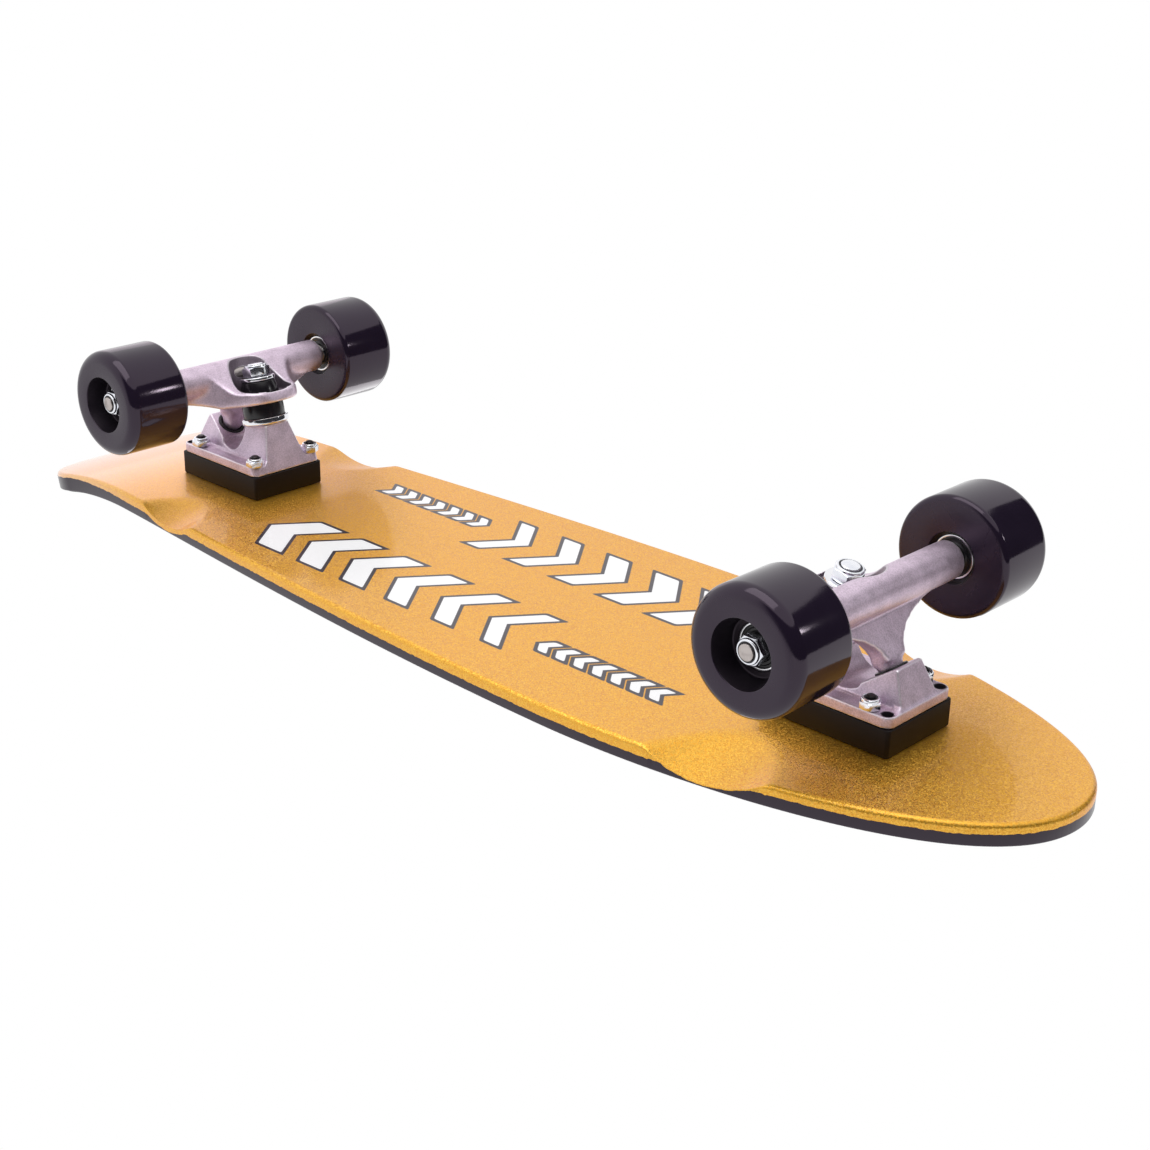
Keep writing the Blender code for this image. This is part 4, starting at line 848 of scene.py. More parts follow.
def pivot_block():
    bore = CUP_OUTER + SEAT_GAP + BLOCK_WALL
    low_lip = PIVOT_FRAME @ Vector((-bore, 0.0, PIVOT_BALL_DEPTH))
    high_lip = PIVOT_FRAME @ Vector((bore, 0.0, PIVOT_BALL_DEPTH))
    saddle = (SADDLE_X - OVERSHOOT, PLATE_THICKNESS + SADDLE_HEIGHT)
    foot = PLATE_OUTER_REACH - PLATE_EDGE
    profile = [(saddle[0], OVERSHOOT), saddle]
    profile += sweep(saddle, (low_lip.x, low_lip.z))
    profile += [(high_lip.x, high_lip.z), (high_lip.x + PIVOT_BLOCK_TOP_LENGTH, high_lip.z)]
    profile += [(foot, PLATE_THICKNESS - PLATE_EDGE), (foot, OVERSHOOT)]
    return drafted_block(profile, bore, high_lip.z)


def flare(end, slope, half):
    """The wall that spreads a block's end face out to the flange's corners."""
    start = (FLARE_REACH, PLATE_THICKNESS - FLARE_SINK)
    outline = [Vector((FLARE_REACH, PLATE_THICKNESS - FLARE_FOOT)), Vector(start)]
    outline += sweep(start, (half, PLATE_THICKNESS + FLARE_HEIGHT))
    outline += mirrored(outline, 0)
    reach = PLATE_INNER_REACH
    if end > 0:
        reach = PLATE_OUTER_REACH - PLATE_EDGE + PLATE_THICKNESS * math.tan(PIVOT_BLOCK_SLOPE)
    bm = extruded([(end * reach, y, z) for y, z in outline], (-end * FLARE_THICKNESS, 0.0, 0.0))
    for vertex in bm.verts:
        vertex.co.x -= end * vertex.co.z * math.tan(slope)
    return finished(bm)


def flange():
    """The flat plate of the baseplate, its kingpin end leaning like the block."""
    low = (-PLATE_INNER_REACH, -PLATE_HALF_WIDTH)
    high = (PLATE_OUTER_REACH, PLATE_HALF_WIDTH)
    mesh = slab(rounded_rectangle(low, high, PLATE_CORNER), 0.0, PLATE_THICKNESS)
    for vertex in mesh.vertices:
        if vertex.co.x < 0.0:
            vertex.co.x += vertex.co.z * math.tan(KINGPIN_BLOCK_SLOPE)
    return mesh


def side_panels():
    """The sunk panel on each side of the flange."""
    low = PLATE_THICKNESS - PLATE_PANEL_DEPTH
    cuts = []
    for side in (1, -1):
        near, far = sorted((side * PLATE_PANEL_INNER, side * PLATE_PANEL_OUTER))
        corners = ((-PLATE_PANEL_HALF_LENGTH, near), (PLATE_PANEL_HALF_LENGTH, far))
        outline = rounded_rectangle(*corners, PLATE_PANEL_CORNER)
        cuts.append(cut(slab(outline, low, PLATE_THICKNESS + OVERSHOOT)))
    return cuts


def baseplate():
    """The cast baseplate: flange, two blocks and their flares, eased, then bored."""
    cup_seat = -(CUP_CAVITY + CUP_WALL + SEAT_GAP)
    head_corner = hexagon_corner(KINGPIN_HEAD_FLATS) + SEAT_GAP
    half_kingpin = KINGPIN_BLOCK_TOP_HALF + BLOCK_SIDE_DRAFT * KINGPIN_SEAT_HEIGHT / 2
    half_pivot = CUP_OUTER + BLOCK_WALL + BLOCK_SIDE_DRAFT * PIVOT_MOUTH_HEIGHT / 2
    spots = [(hole, NUT_SPOT_RADIUS) for hole in BOLT_PLACES]
    spots += [(hole, HOLE_SPOT_RADIUS) for hole in SPARE_PLACES]
    casting = carved(
        flange(),
        join(kingpin_block()),
        join(pivot_block()),
        join(flare(-1, KINGPIN_BLOCK_SLOPE, half_kingpin)),
        join(flare(1, PIVOT_BLOCK_SLOPE, half_pivot)),
        *side_panels(),
        *(upright_bore(hole, radius, PLATE_THICKNESS, FAR, PIN_SEGMENTS) for hole, radius in spots),
        voxels(PLATE_VOXEL),
        smoothed(CAST_SMOOTHING),
        *(upright_bore(hole, MOUNT_HOLE_RADIUS, -FAR, FAR) for hole, _radius in spots),
        cut(rod(CUP_OUTER + SEAT_GAP, cup_seat, FAR / 4, place=PIVOT_FRAME)),
        cut(rod(head_corner, -FAR, -KINGPIN_GRIP_IN_BLOCK, PIN_SEGMENTS, place=KINGPIN_FRAME)),
        cut(rod(KINGPIN_HOLE_RADIUS, -FAR, FAR, PIN_SEGMENTS, place=KINGPIN_FRAME)),
    )

    # Painted shade: points near the mounting and spare holes are marked to be darkened
    def in_hole(point):
        nearest = min((point.xy - hole.xy).length for hole, _radius in spots)
        return 2 - (nearest - MOUNT_HOLE_RADIUS) / HOLLOW_FADE

    return shade_hollow(casting, in_hole, HOLE_SHADE)


def neck_radius_at(height):
    share = min(max(height / (PIVOT_BALL_DEPTH + CUP_RIM), 0.0), 1.0)
    return PIVOT_BALL_RADIUS + (NECK_RADIUS - NECK_FLARE - PIVOT_BALL_RADIUS) * share


def ball_points(radius):
    """A quarter of the pivot ball's outline, from its widest ring down to its tip."""
    return arc((0.0, 0.0), radius, 0.0, -QUARTER, 12)[1:-1] + [(0.0, -radius)]


def pivot_cup():
    top = PIVOT_BALL_DEPTH + CUP_RIM
    bottom = -CUP_CAVITY - CUP_WALL
    mouth = neck_radius_at(top) + SEAT_GAP + CUP_RIM / 2
    profile = [(0.0, bottom), (CUP_OUTER, bottom), (CUP_OUTER, top), (mouth, top)]
    return turned([*profile, (CUP_CAVITY, 0.0), *ball_points(CUP_CAVITY)], edge=0.0004)


def kingpin():
    end = KINGPIN_HEAD_TOP + KINGPIN_LENGTH
    low = KINGPIN_HEAD_TOP - KINGPIN_HEAD_HEIGHT
    shank = rod(KINGPIN_RADIUS, low + OVERSHOOT, end, FINE_SEGMENTS, AXLE_END_CHAMFER)
    head = rod(hexagon_corner(KINGPIN_HEAD_FLATS), low, KINGPIN_HEAD_TOP, 6, edge=0.0004)
    return carved(shank, join(head))


def low_washer():
    """The washer that cups the lower bushing."""
    low = SEAT_GAP
    floor = low + LOW_WASHER_THICKNESS
    turn = (LOW_WASHER_RADIUS - LOW_WASHER_THICKNESS, floor)
    profile = [(KINGPIN_HOLE_RADIUS, low)]
    profile += arc(turn, LOW_WASHER_THICKNESS, -QUARTER, 0.0, 8)
    profile += [(LOW_WASHER_RADIUS, LOW_WASHER_RIM), (LOW_BUSHING_SEAT, LOW_WASHER_RIM)]
    profile += [(LOW_BUSHING_SEAT, floor), (KINGPIN_HOLE_RADIUS, floor)]
    return turned(profile, edge=0.0003)


def bushing(start, length, base_radius, tip_radius, base_bore, tip_bore):
    """A soft ring round the kingpin that bulges a little in its middle."""
    side = []
    for step in range(17):
        share = step / 16
        bulge = BUSHING_BARREL * math.sin(math.pi * share)
        radius = base_radius + (tip_radius - base_radius) * share + bulge
        side.append((radius, start + length * share))
    return turned([(base_bore, start), *side, (tip_bore, start + length)], edge=0.0005)


def washer(bore, radius, low, thickness, segments, edge):
    high = low + thickness
    return turned([(bore, low), (radius, low), (radius, high), (bore, high)], segments, edge)


def lock_nut(flats, hex_height, height, bore):
    """A hexagon nut with turned corners and a round collar, hollow at the top for its ring."""
    corner = hexagon_corner(flats)
    ease = (corner - flats / 2) * 0.6
    barrel = [(0.0, 0.0), (flats / 2, 0.0), (corner, ease), (corner, hex_height - ease)]
    barrel += [(flats / 2, hex_height), (0.0, hex_height)]
    collar = rod(flats / 2 - SEAT_GAP, OVERSHOOT, height, FINE_SEGMENTS, (height - hex_height) / 2)
    top = height + OVERSHOOT
    return carved(
        rod(corner, 0.0, hex_height, 6),
        keep(turned(barrel)),
        join(collar),
        cut(rod(bore, -OVERSHOOT, top, FINE_SEGMENTS)),
        cut(rod(lock_ring_radius(flats, bore), hex_height, top, FINE_SEGMENTS)),
        rounded(0.00012),
    )


def lock_ring_radius(flats, bore):
    return bore + (flats / 2 - bore) * LOCK_RING_SHARE


def lock_ring(flats, hex_height, height, bore):
    """The soft ring in the top of a lock nut."""
    inner = bore - SEAT_GAP / 2
    outer = lock_ring_radius(flats, bore)
    top = height - SEAT_GAP / 2
    profile = [(inner, hex_height), (outer, hex_height), (outer, top), (inner, top)]
    return turned(profile, FINE_SEGMENTS, edge=0.0002)


def mount_bolt():
    """The countersunk bolt, with a hexagon socket in its head and a chamfered point."""
    end = MOUNT_HEAD_TOP + MOUNT_BOLT_LENGTH
    profile = [
        (0.0, MOUNT_HEAD_TOP),
        (MOUNT_HEAD_RADIUS, MOUNT_HEAD_TOP),
        (MOUNT_BOLT_RADIUS, MOUNT_HEAD_TOP + MOUNT_HEAD_DEPTH),
        (MOUNT_BOLT_RADIUS, end - MOUNT_POINT),
        (MOUNT_BOLT_RADIUS - MOUNT_POINT, end),
        (0.0, end),
    ]
    low = MOUNT_HEAD_TOP - OVERSHOOT
    socket = rod(hexagon_corner(MOUNT_SOCKET_FLATS), low, MOUNT_HEAD_TOP + MOUNT_SOCKET_DEPTH, 6)
    return carved(turned(profile, PIN_SEGMENTS, edge=0.00015), cut(socket))


def side_view(point):
    return Vector((point.x, point.z))


def on_kingpin(across, along):
    return side_view(KINGPIN_FRAME @ Vector((across, 0.0, along)))


def on_neck(across):
    return side_view(PIVOT_FRAME @ Vector((across, 0.0, PIVOT_BALL_DEPTH + WEB_UP_NECK)))


def web_side():
    """The hanger's middle from the side: lip, low plate, fillet, web and the bushing's arch."""
    plate_level = YOKE_LIP_TOP + YOKE_PLATE_RISE
    plate_back = on_kingpin(-YOKE_PLATE_BACK, plate_level)
    plate_end = on_kingpin(-YOKE_PLATE_BACK + YOKE_FILLET, plate_level)
    tube_top = arc((AXLE_X, AXLE_HEIGHT), TUBE_RADIUS, WEB_TUBE_TOP, WEB_TUBE_TOP, 1)[0]
    turn = WEB_TUBE_TOP + QUARTER
    down = Vector((math.cos(turn), math.sin(turn))) * YOKE_FILLET
    crease_x = AXLE_X + WEB_TUBE_OFFSET
    arch_end = on_neck(-NECK_RADIUS + NECK_FLARE)
    arch_start = on_kingpin(LOW_WASHER_RADIUS + ARCH_CLEARANCE / 2, YOKE_UNDERSIDE)
    rise = Vector((0.0, ARCH_RISE))
    return [
        on_kingpin(-YOKE_FRONT - OVERSHOOT, YOKE_UNDERSIDE),
        on_kingpin(-YOKE_FRONT + YOKE_LIP_SLANT, YOKE_LIP_TOP),
        plate_back,
        *bezier(plate_back, plate_end, tube_top + down, tube_top, 16),
        Vector((crease_x, AXLE_HEIGHT)),
        Vector((crease_x, AXLE_HEIGHT - WEB_TUBE_DROP)),
        on_neck(NECK_RADIUS),
        arch_end,
        *bezier(arch_end, arch_end + rise, arch_start - rise, arch_start, 20),
    ]


def yoke_plan():
    """The hanger seen along the kingpin: a blunt nose, two corners and a skirt out to the tube."""
    corner = Vector((-YOKE_FRONT + YOKE_CORNER_BACK, YOKE_CORNER_HALF))
    skirt = Vector((-YOKE_FRONT + SKIRT_BACK, SKIRT_HALF))
    nose = Vector((-YOKE_FRONT - YOKE_NOSE_BULGE, 0.0))
    across = nose + Vector((0.0, YOKE_FRONT_HALF))
    back = skirt - Vector((YOKE_LIP_RISE, SKIRT_FULLNESS))
    half = bezier(nose, across, corner - YOKE_CORNER_PULL, corner, 20)
    half += bezier(corner, corner + YOKE_CORNER_PULL, back, skirt, 24)
    half.append(Vector((FAR, SKIRT_HALF)))
    return half + mirrored(half, 1)


def web_front():
    """The hanger seen from its end of the board: the web sweeps from the neck out to the tube."""
    waist = Vector((NECK_RADIUS, PIVOT_MOUTH_HEIGHT + CUP_RIM * 3))
    wing = Vector((WEB_HALF_WIDTH, AXLE_HEIGHT - TUBE_RADIUS))
    up = waist + Vector((0.0, WEB_RISE))
    half = [Vector((NECK_RADIUS, PIVOT_MOUTH_HEIGHT)), waist]
    half += bezier(waist, up, wing - Vector((WEB_SPREAD, WEB_DROP)), wing, 28)
    half.append(Vector((WEB_HALF_WIDTH, AXLE_HEIGHT + TUBE_RADIUS * 2)))
    return half + mirrored(half, 0)


def tube():
    """The axle tube with a small boss at each end."""
    half = [
        (TUBE_RADIUS, TUBE_HALF_LENGTH - TUBE_END_ROUNDING),
        (TUBE_RADIUS - TUBE_END_ROUNDING, TUBE_HALF_LENGTH),
        (BOSS_RADIUS, TUBE_HALF_LENGTH),
        (BOSS_RADIUS, BOSS_END),
        (0.0, BOSS_END),
    ]
    return turned(double_ended(half), place=AXLE_FRAME)


def neck():
    top = PIVOT_BALL_DEPTH + NECK_LENGTH
    profile = [(0.0, top), (NECK_RADIUS, top), (NECK_RADIUS, PIVOT_BALL_DEPTH + NECK_SHOULDER)]
    profile += [(neck_radius_at(top), PIVOT_BALL_DEPTH + CUP_RIM), (PIVOT_BALL_RADIUS, 0.0)]
    return turned(profile + ball_points(PIVOT_BALL_RADIUS), place=PIVOT_FRAME)


def crossed_web():
    """Three outlines crossed into the hanger's solid middle."""
    lay_flat = Matrix.Rotation(QUARTER, 4, "X")
    stand_up = Matrix(((0, 0, 1, 0), (1, 0, 0, 0), (0, 1, 0, 0), (0, 0, 0, 1)))
    half = SKIRT_HALF + OVERSHOOT
    return carved(
        slab(web_side(), -half, half, place=lay_flat),
        keep(slab(yoke_plan(), -FAR, FAR, place=KINGPIN_FRAME)),
        keep(slab(web_front(), -FAR, FAR, place=stand_up)),
    )


def pocket_plan():
    """The nut's pocket in plan: round towards the tube, squarer at the lip."""
    points = []
    for step in range(ROUND_SEGMENTS):
        turn = math.tau * step / ROUND_SEGMENTS
        across = math.sin(turn)
        along = math.cos(turn)
        reach = POCKET_BACK - POCKET_MIDDLE
        if along <= 0.0:
            reach = POCKET_FRONT + POCKET_MIDDLE
            along = -((-along) ** POCKET_SQUARENESS)
            across = math.copysign(abs(across) ** POCKET_SQUARENESS, across)
        points.append((POCKET_MIDDLE + reach * along, POCKET_HALF_WIDTH * across))
    return points


def pocket():
    """The pocket's cutter, leaning outwards on the tube's side where it rises above the plate."""
    mesh = slab(pocket_plan(), YOKE_FLOOR, FAR)
    lean = POCKET_DRAFT / (AXLE_HEIGHT - KINGPIN_SEAT_HEIGHT + TUBE_RADIUS - YOKE_FLOOR)
    for vertex in mesh.vertices:
        if vertex.co.x > POCKET_MIDDLE:
            share = (vertex.co.x - POCKET_MIDDLE) / (POCKET_BACK - POCKET_MIDDLE)
            vertex.co.x += (vertex.co.z - YOKE_FLOOR) * lean * share
    mesh.transform(KINGPIN_FRAME)
    return mesh


def hanger():
    """The cast hanger: its outlines are joined, eased to wide fillets, then hollowed."""
    ends = [join(tube()), join(neck())]
    eased = carved(crossed_web(), *ends, voxels(WEB_VOXEL), smoothed(WEB_SMOOTHING))
    hollow = pocket()
    corners = [vertex.co for vertex in hollow.vertices]
    walls = BVHTree.FromPolygons(corners, [face.vertices for face in hollow.polygons])
    casting = carved(
        eased,
        *ends,
        cut(hollow),
        cut(rod(LOW_BUSHING_SEAT, 0.0, YOKE_SEAT, place=KINGPIN_FRAME)),
        cut(rod(YOKE_HOLE_RADIUS, 0.0, FAR, place=KINGPIN_FRAME)),
        voxels(HANGER_VOXEL),
        smoothed(CAST_SMOOTHING),
        cut(rod(AXLE_HOLE_RADIUS, -AXLE_END, AXLE_END, FINE_SEGMENTS, place=AXLE_FRAME)),
    )

    # Painted shade: points near the pocket's walls are marked to be darkened
    def in_pocket(point):
        return 2 - walls.find_nearest(point)[3] / HOLLOW_FADE

    return shade_hollow(casting, in_pocket, POCKET_SHADE)


def axle():
    """The steel axle with the inner speed washer of each wheel pressed on it."""
    washer_end = INNER_WASHER_START + SPEED_WASHER_THICKNESS
    half = [
        (AXLE_RADIUS, INNER_WASHER_START),
        (SPEED_WASHER_RADIUS, INNER_WASHER_START),
        (SPEED_WASHER_RADIUS, washer_end),
        (AXLE_RADIUS, washer_end),
        (AXLE_RADIUS, AXLE_END),
        (0.0, AXLE_END),
    ]
    return turned(double_ended(half), FINE_SEGMENTS, edge=0.0003)


def bearing():
    """A ball bearing from z = 0 inwards: two bright races with a groove for the shield."""
    profile = [
        (AXLE_HOLE_RADIUS, -BEARING_WIDTH),
        (BEARING_RADIUS, -BEARING_WIDTH),
        (BEARING_RADIUS, 0.0),
        (SHIELD_OUTER, 0.0),
        (SHIELD_OUTER, SHIELD_FLOOR),
        (SHIELD_INNER, SHIELD_FLOOR),
        (SHIELD_INNER, 0.0),
        (AXLE_HOLE_RADIUS, 0.0),
    ]
    return turned(profile, edge=0.00025)


def bearing_shield():
    """The pressed shield between the races, dished a little in its middle."""
    flat = (SHIELD_OUTER - SHIELD_INNER) / 4
    slope = flat * 1.5
    top = -SHIELD_DEPTH
    dish = top - SHIELD_DEPTH
    profile = [
        (SHIELD_INNER, SHIELD_FLOOR),
        (SHIELD_OUTER, SHIELD_FLOOR),
        (SHIELD_OUTER, top),
        (SHIELD_OUTER - flat, top),
        (SHIELD_OUTER - slope, dish),
        (SHIELD_INNER + slope, dish),
        (SHIELD_INNER + flat, top),
        (SHIELD_INNER, top),
    ]
    return turned(profile, edge=0.0001)


def wheel():
    """The tyre and its core, turned about Z with the outer face up and the middle at z = 0."""
    face = WHEEL_WIDTH / 2
    seat = BEARING_RADIUS + SEAT_GAP
    edge = WHEEL_RIM_EDGE
    foot = WHEEL_FOOT_ROUNDING
    inner_start = INNER_BEARING_START - WHEEL_MIDDLE
    inner_end = INNER_BEARING_START + BEARING_WIDTH + SEAT_GAP - WHEEL_MIDDLE
    outer_start = OUTER_BEARING_START - SEAT_GAP - WHEEL_MIDDLE
    outer_end = OUTER_BEARING_START + BEARING_WIDTH - WHEEL_MIDDLE
    inner_lip = (WHEEL_RADIUS - WHEEL_INNER_LIP, -face + WHEEL_INNER_LIP)
    outer_lip = (WHEEL_RADIUS - WHEEL_OUTER_LIP, face - WHEEL_OUTER_LIP)
    profile = [
        *arc((WHEEL_OUTER_RECESS + edge, face - edge), edge, QUARTER, math.pi, 4),
        *arc((WHEEL_CORE_RADIUS - foot, outer_end + foot), foot, 0.0, -QUARTER, 5),
        (seat, outer_end),
        (seat, outer_start),
        (WHEEL_SHOULDER_RADIUS, outer_start),
        (WHEEL_SHOULDER_RADIUS, inner_end),
        (seat, inner_end),
        (seat, inner_start),
        *arc((WHEEL_INNER_RECESS + edge, -face + edge), edge, math.pi, 1.5 * math.pi, 4),
        *arc(inner_lip, WHEEL_INNER_LIP, -QUARTER, 0.0, 10),
        *arc(outer_lip, WHEEL_OUTER_LIP, 0.0, QUARTER, 16),
    ]
    mesh = turned(profile, WHEEL_SEGMENTS)

    # Painted shade: points inside the mouth of either wheel hollow are marked to be darkened
    def in_recess(point):
        mouth = WHEEL_OUTER_RECESS if point.z > 0.0 else WHEEL_INNER_RECESS
        return 1.0 if point.xy.length < mouth + edge / 10 else 0.0

    return noted(mesh, "in_recess", [in_recess(vertex.co) for vertex in mesh.vertices])


def chevrons(paint, along, across, start, pitch, count, middle, half_height, thick, thin):
    """How far a place is outside a row of chevrons that grow thinner towards the nose."""
    off = across - middle
    slanted = (along - start - abs(off) * CHEVRON_SLANT) / pitch
    cell = paint.math("FLOOR", slanted)
    inside = (cell > -0.5) * (cell < count - 0.5)
    share = paint.clamp(cell / (count - 1))
    half = share * (thin - thick) + thick
    side = abs(slanted - cell - 0.5) * (pitch * CHEVRON_SQUARING) - half
    ends = abs(off) - half_height
    distance = paint.math("SMOOTH_MAX", side, ends, 0.002)
    return distance + (1 - inside)


def chevron_bars(paint, x, y):
    """How far a place is outside both rows of chevrons, which point each way on either side."""
    place = (x * paint.math("SIGN", y), abs(y))
    large = {"start": -0.163, "pitch": 0.036, "count": 6, "middle": 0.0425}
    small = {"start": 0.066, "pitch": 0.0125, "count": 7, "middle": 0.0475}
    large = chevrons(paint, *place, **large, half_height=0.0225, thick=0.0085, thin=0.0045)
    small = chevrons(paint, *place, **small, half_height=0.0065, thick=0.0026, thin=0.0026)
    return paint.math("MINIMUM", large, small)


def gold_paint():
    """Gold flake under clear lacquer, a black edge, and white chevrons outlined in black, with a
    painted pinkish sheen towards the tail and a painted glow on the white.
    """
    paint = Finish("gold_flake")
    flat = paint.attribute("laid_flat", "Vector")
    x, y, _z = paint.axes(flat)
    flake = paint.cells(flat, 2000.0, "Color")
    red, green, _blue = paint.axes(flake)
    tilt = paint.scaled(paint.vector("SUBTRACT", flake, (0.5, 0.5, 0.5)), 0.33)
    smooth = paint.node("NewGeometry", output="Normal")
    flake_normal = paint.vector("NORMALIZE", paint.vector("ADD", smooth, tilt))

    clouds = paint.ramp(paint.noise(flat, 14.0, 3.0), 0.35, 0.75)
    # Painted sheen: towards the tail the gold is mixed with pinkish white, and its coat is thicker
    tail = paint.ramp(x, -0.21, -0.36)
    gold = paint.colour(red, (0.76, 0.345, 0.024), (0.97, 0.57, 0.080))
    gold = paint.colour(clouds * 0.25, gold, (0.90, 0.47, 0.05))
    gold = paint.colour(tail * 0.35, gold, (0.95, 0.76, 0.70))

    wander = (paint.noise(flat, 260.0, 3.0) - 0.5) * 0.0016
    edge = paint.attribute("above_gold") + wander > 0.0
    bars = chevron_bars(paint, x, y)
    outlined = paint.ramp(bars, 0.0024, 0.0020)
    white = paint.ramp(bars, 0.0002, -0.0002)
    colour = paint.colour(edge, gold, (0.005, 0.002, 0.008))
    colour = paint.colour(outlined, colour, (0.012, 0.008, 0.014))
    colour = paint.colour(white, colour, (0.93, 0.93, 0.94))
    bare = paint.clamp(edge + outlined)
    return paint.wear(
        Base_Color=colour,
        Metallic=(1 - bare) * 0.92,
        Roughness=paint.number(bare, 0.40 + green * 0.08, 0.3),
        Normal=paint.direction(bare, flake_normal, smooth),
        # Painted light: the white chevrons glow a little, though no lamp is there
        Emission_Color=paint.colour(white, (0.0, 0.0, 0.0), (0.2, 0.2, 0.2)),
        Emission_Strength=1.0,
        Coat_Weight=paint.number(edge, paint.number(tail, 0.40, 1.0), 0.15),
        Coat_Roughness=0.10,
        Coat_IOR=1.45,
        Specular_Tint=LILAC_SHEEN,
    )


def cast_aluminium():
    """Matt cast metal with a fine grain, brighter on its edges, rubbed and with a painted
    highlight, and darkened by painted shade in its hollows.
    """
    metal = Finish("cast_aluminium")
    place = metal.place()
    grain = metal.noise(place, 1300.0, 3.0, 0.6)
    blotch = metal.noise(place, 120.0, 3.0)
    # Painted shade: this mask darkens the base colour in the holes and the pocket
    hollow = metal.attribute("in_hollow")
    # Rubbed edges with a painted highlight: pointed edges get a near-white base colour, except deep
    # in the hollows
    edge_wear_and_highlight = metal.ramp(metal.node("NewGeometry", output="Pointiness"), 0.505, 0.545)
    edge_wear_and_highlight = metal.clamp(edge_wear_and_highlight - metal.ramp(hollow, 0.7, 0.9))
    mottle = metal.ramp(blotch, 0.3, 0.7) * 0.45 + metal.ramp(grain, 0.35, 0.65) * 0.55
    base = metal.colour(mottle, (0.55, 0.44, 0.54), (0.86, 0.71, 0.85))
    base = metal.colour(hollow, base, (0.05, 0.042, 0.055))
    return metal.wear(
        Base_Color=metal.colour(edge_wear_and_highlight, base, (1.0, 0.93, 1.0)),
        Metallic=0.8,
        Roughness=metal.number(edge_wear_and_highlight, 0.40 + blotch * 0.1, 0.34),
        Normal=metal.bump(grain, 0.00025, 0.6),
    )


def plain_metal(name, light, dark, roughness, scale, grain):
    """Plated or turned metal with a faint mottle."""
    metal = Finish(name)
    place = metal.place()
    mottle = metal.noise(place, scale, 3.0)
    fine = metal.noise(place, scale * 9, 2.0)
    return metal.wear(
        Base_Color=metal.colour(metal.ramp(mottle, 0.3, 0.7), dark, light),
        Metallic=1.0,
        Roughness=mottle * 0.1 + roughness,
        Normal=metal.bump(fine, 0.00006, grain),
    )


def black_plastic(name, colour, roughness, grain, shine=0.5):
    """A near-black moulding with a fine skin."""
    plastic = Finish(name)
    place = plastic.place()
    skin = plastic.noise(place, 1600.0, 3.0)
    patch = plastic.noise(place, 60.0, 3.0)
    lighter = tuple(channel * 1.6 for channel in colour)
    return plastic.wear(
        Base_Color=plastic.colour(plastic.ramp(patch, 0.3, 0.8), colour, lighter),
        Roughness=patch * 0.12 + roughness,
        Normal=plastic.bump(skin, 0.0001, grain),
        Specular_IOR_Level=shine,
    )


def wheel_urethane():
    """Glossy cast urethane: its faces are satin and its tread is polished; its recesses are rougher
    and darkened by painted shade.
    """
    urethane = Finish("wheel_urethane")
    place = urethane.place()
    _x, across, _z = urethane.axes(urethane.node("TexCoord", output="Normal"))
    face = urethane.ramp(abs(across), 0.8, 0.97)
    patch = urethane.noise(place, 70.0, 4.0)
    skin = urethane.noise(place, 1400.0, 2.0)
    recess_shade_mask = urethane.attribute("in_recess")
    colour = urethane.colour(patch, (0.011, 0.0068, 0.016), (0.017, 0.0105, 0.024))
    satin = urethane.number(face, 0.07 + patch * 0.06, 0.24 + patch * 0.06)
    return urethane.wear(
        # Painted shade: the recesses are nearly black, and rougher
        Base_Color=urethane.colour(recess_shade_mask, colour, (0.002, 0.001, 0.003)),
        Roughness=urethane.number(recess_shade_mask, satin, 0.45),
        Normal=urethane.bump(skin, 0.00008, 0.12),
        Specular_Tint=LILAC_SHEEN,
    )


def grip_grit():
    """Sharp black grit with a few glinting grains."""
    grit = Finish("grip_grit")
    place = grit.place()
    hue, _green, _blue = grit.axes(grit.cells(place, 1500.0, "Color"))
    glint = grit.ramp(hue, 0.9, 1.0)
    return grit.wear(
        Base_Color=grit.colour(glint, (0.012, 0.012, 0.013), (0.10, 0.10, 0.11)),
        Roughness=0.95 - glint * 0.5,
        Normal=grit.bump(1 - grit.cells(place, 1500.0, "Distance"), 0.0005, 0.9),
    )


def dress_board():
    piece("deck_plank", deck(), gold_paint(), "board", "deck_gold", "deck")
    piece("grip_sheet", grip_tape(), grip_grit(), "board", "grip_black", "grip_tape")


def soft_stock():
    """The bushings, whose hidden bores widen towards the hanger so that they can bend."""
    urethane = black_plastic("bushing_urethane", (0.010, 0.008, 0.011), 0.16, 0.1)
    cup_urethane = black_plastic("cup_urethane", (0.008, 0.007, 0.008), 0.3, 0.15)
    tight = KINGPIN_HOLE_RADIUS
    wide = KINGPIN_HOLE_RADIUS + BUSHING_BORE_FLARE
    low = (LOW_BUSHING_START, LOW_BUSHING_LENGTH, LOW_BUSHING_RADIUS, LOW_BUSHING_RADIUS)
    top = (TOP_BUSHING_START, TOP_BUSHING_LENGTH, TOP_BUSHING_BASE_RADIUS, TOP_BUSHING_TIP_RADIUS)
    return {
        "lower_bushing": (bushing(*low, tight, wide), urethane, "bushing_black"),
        "top_bushing": (bushing(*top, wide, tight), urethane, "bushing_black"),
        "pivot_cup": (pivot_cup(), cup_urethane, "cup_black"),
    }


def nut_stock(zinc):
    """The three sizes of lock nut and their rings."""
    nylon = black_plastic("ring_nylon", (0.035, 0.035, 0.04), 0.4, 0.1)
    stock = {}
    for kind, sizes, bore in (
        ("kingpin", KINGPIN_NUT, KINGPIN_HOLE_RADIUS),
        ("mounting", MOUNT_NUT, MOUNT_HOLE_RADIUS),
        ("axle", AXLE_NUT, AXLE_HOLE_RADIUS),
    ):
        stock[kind + "_nut"] = (lock_nut(**sizes, bore=bore), zinc, "nut_zinc")
        stock[kind + "_ring"] = (lock_ring(**sizes, bore=bore), nylon, "bushing_black")
    return stock


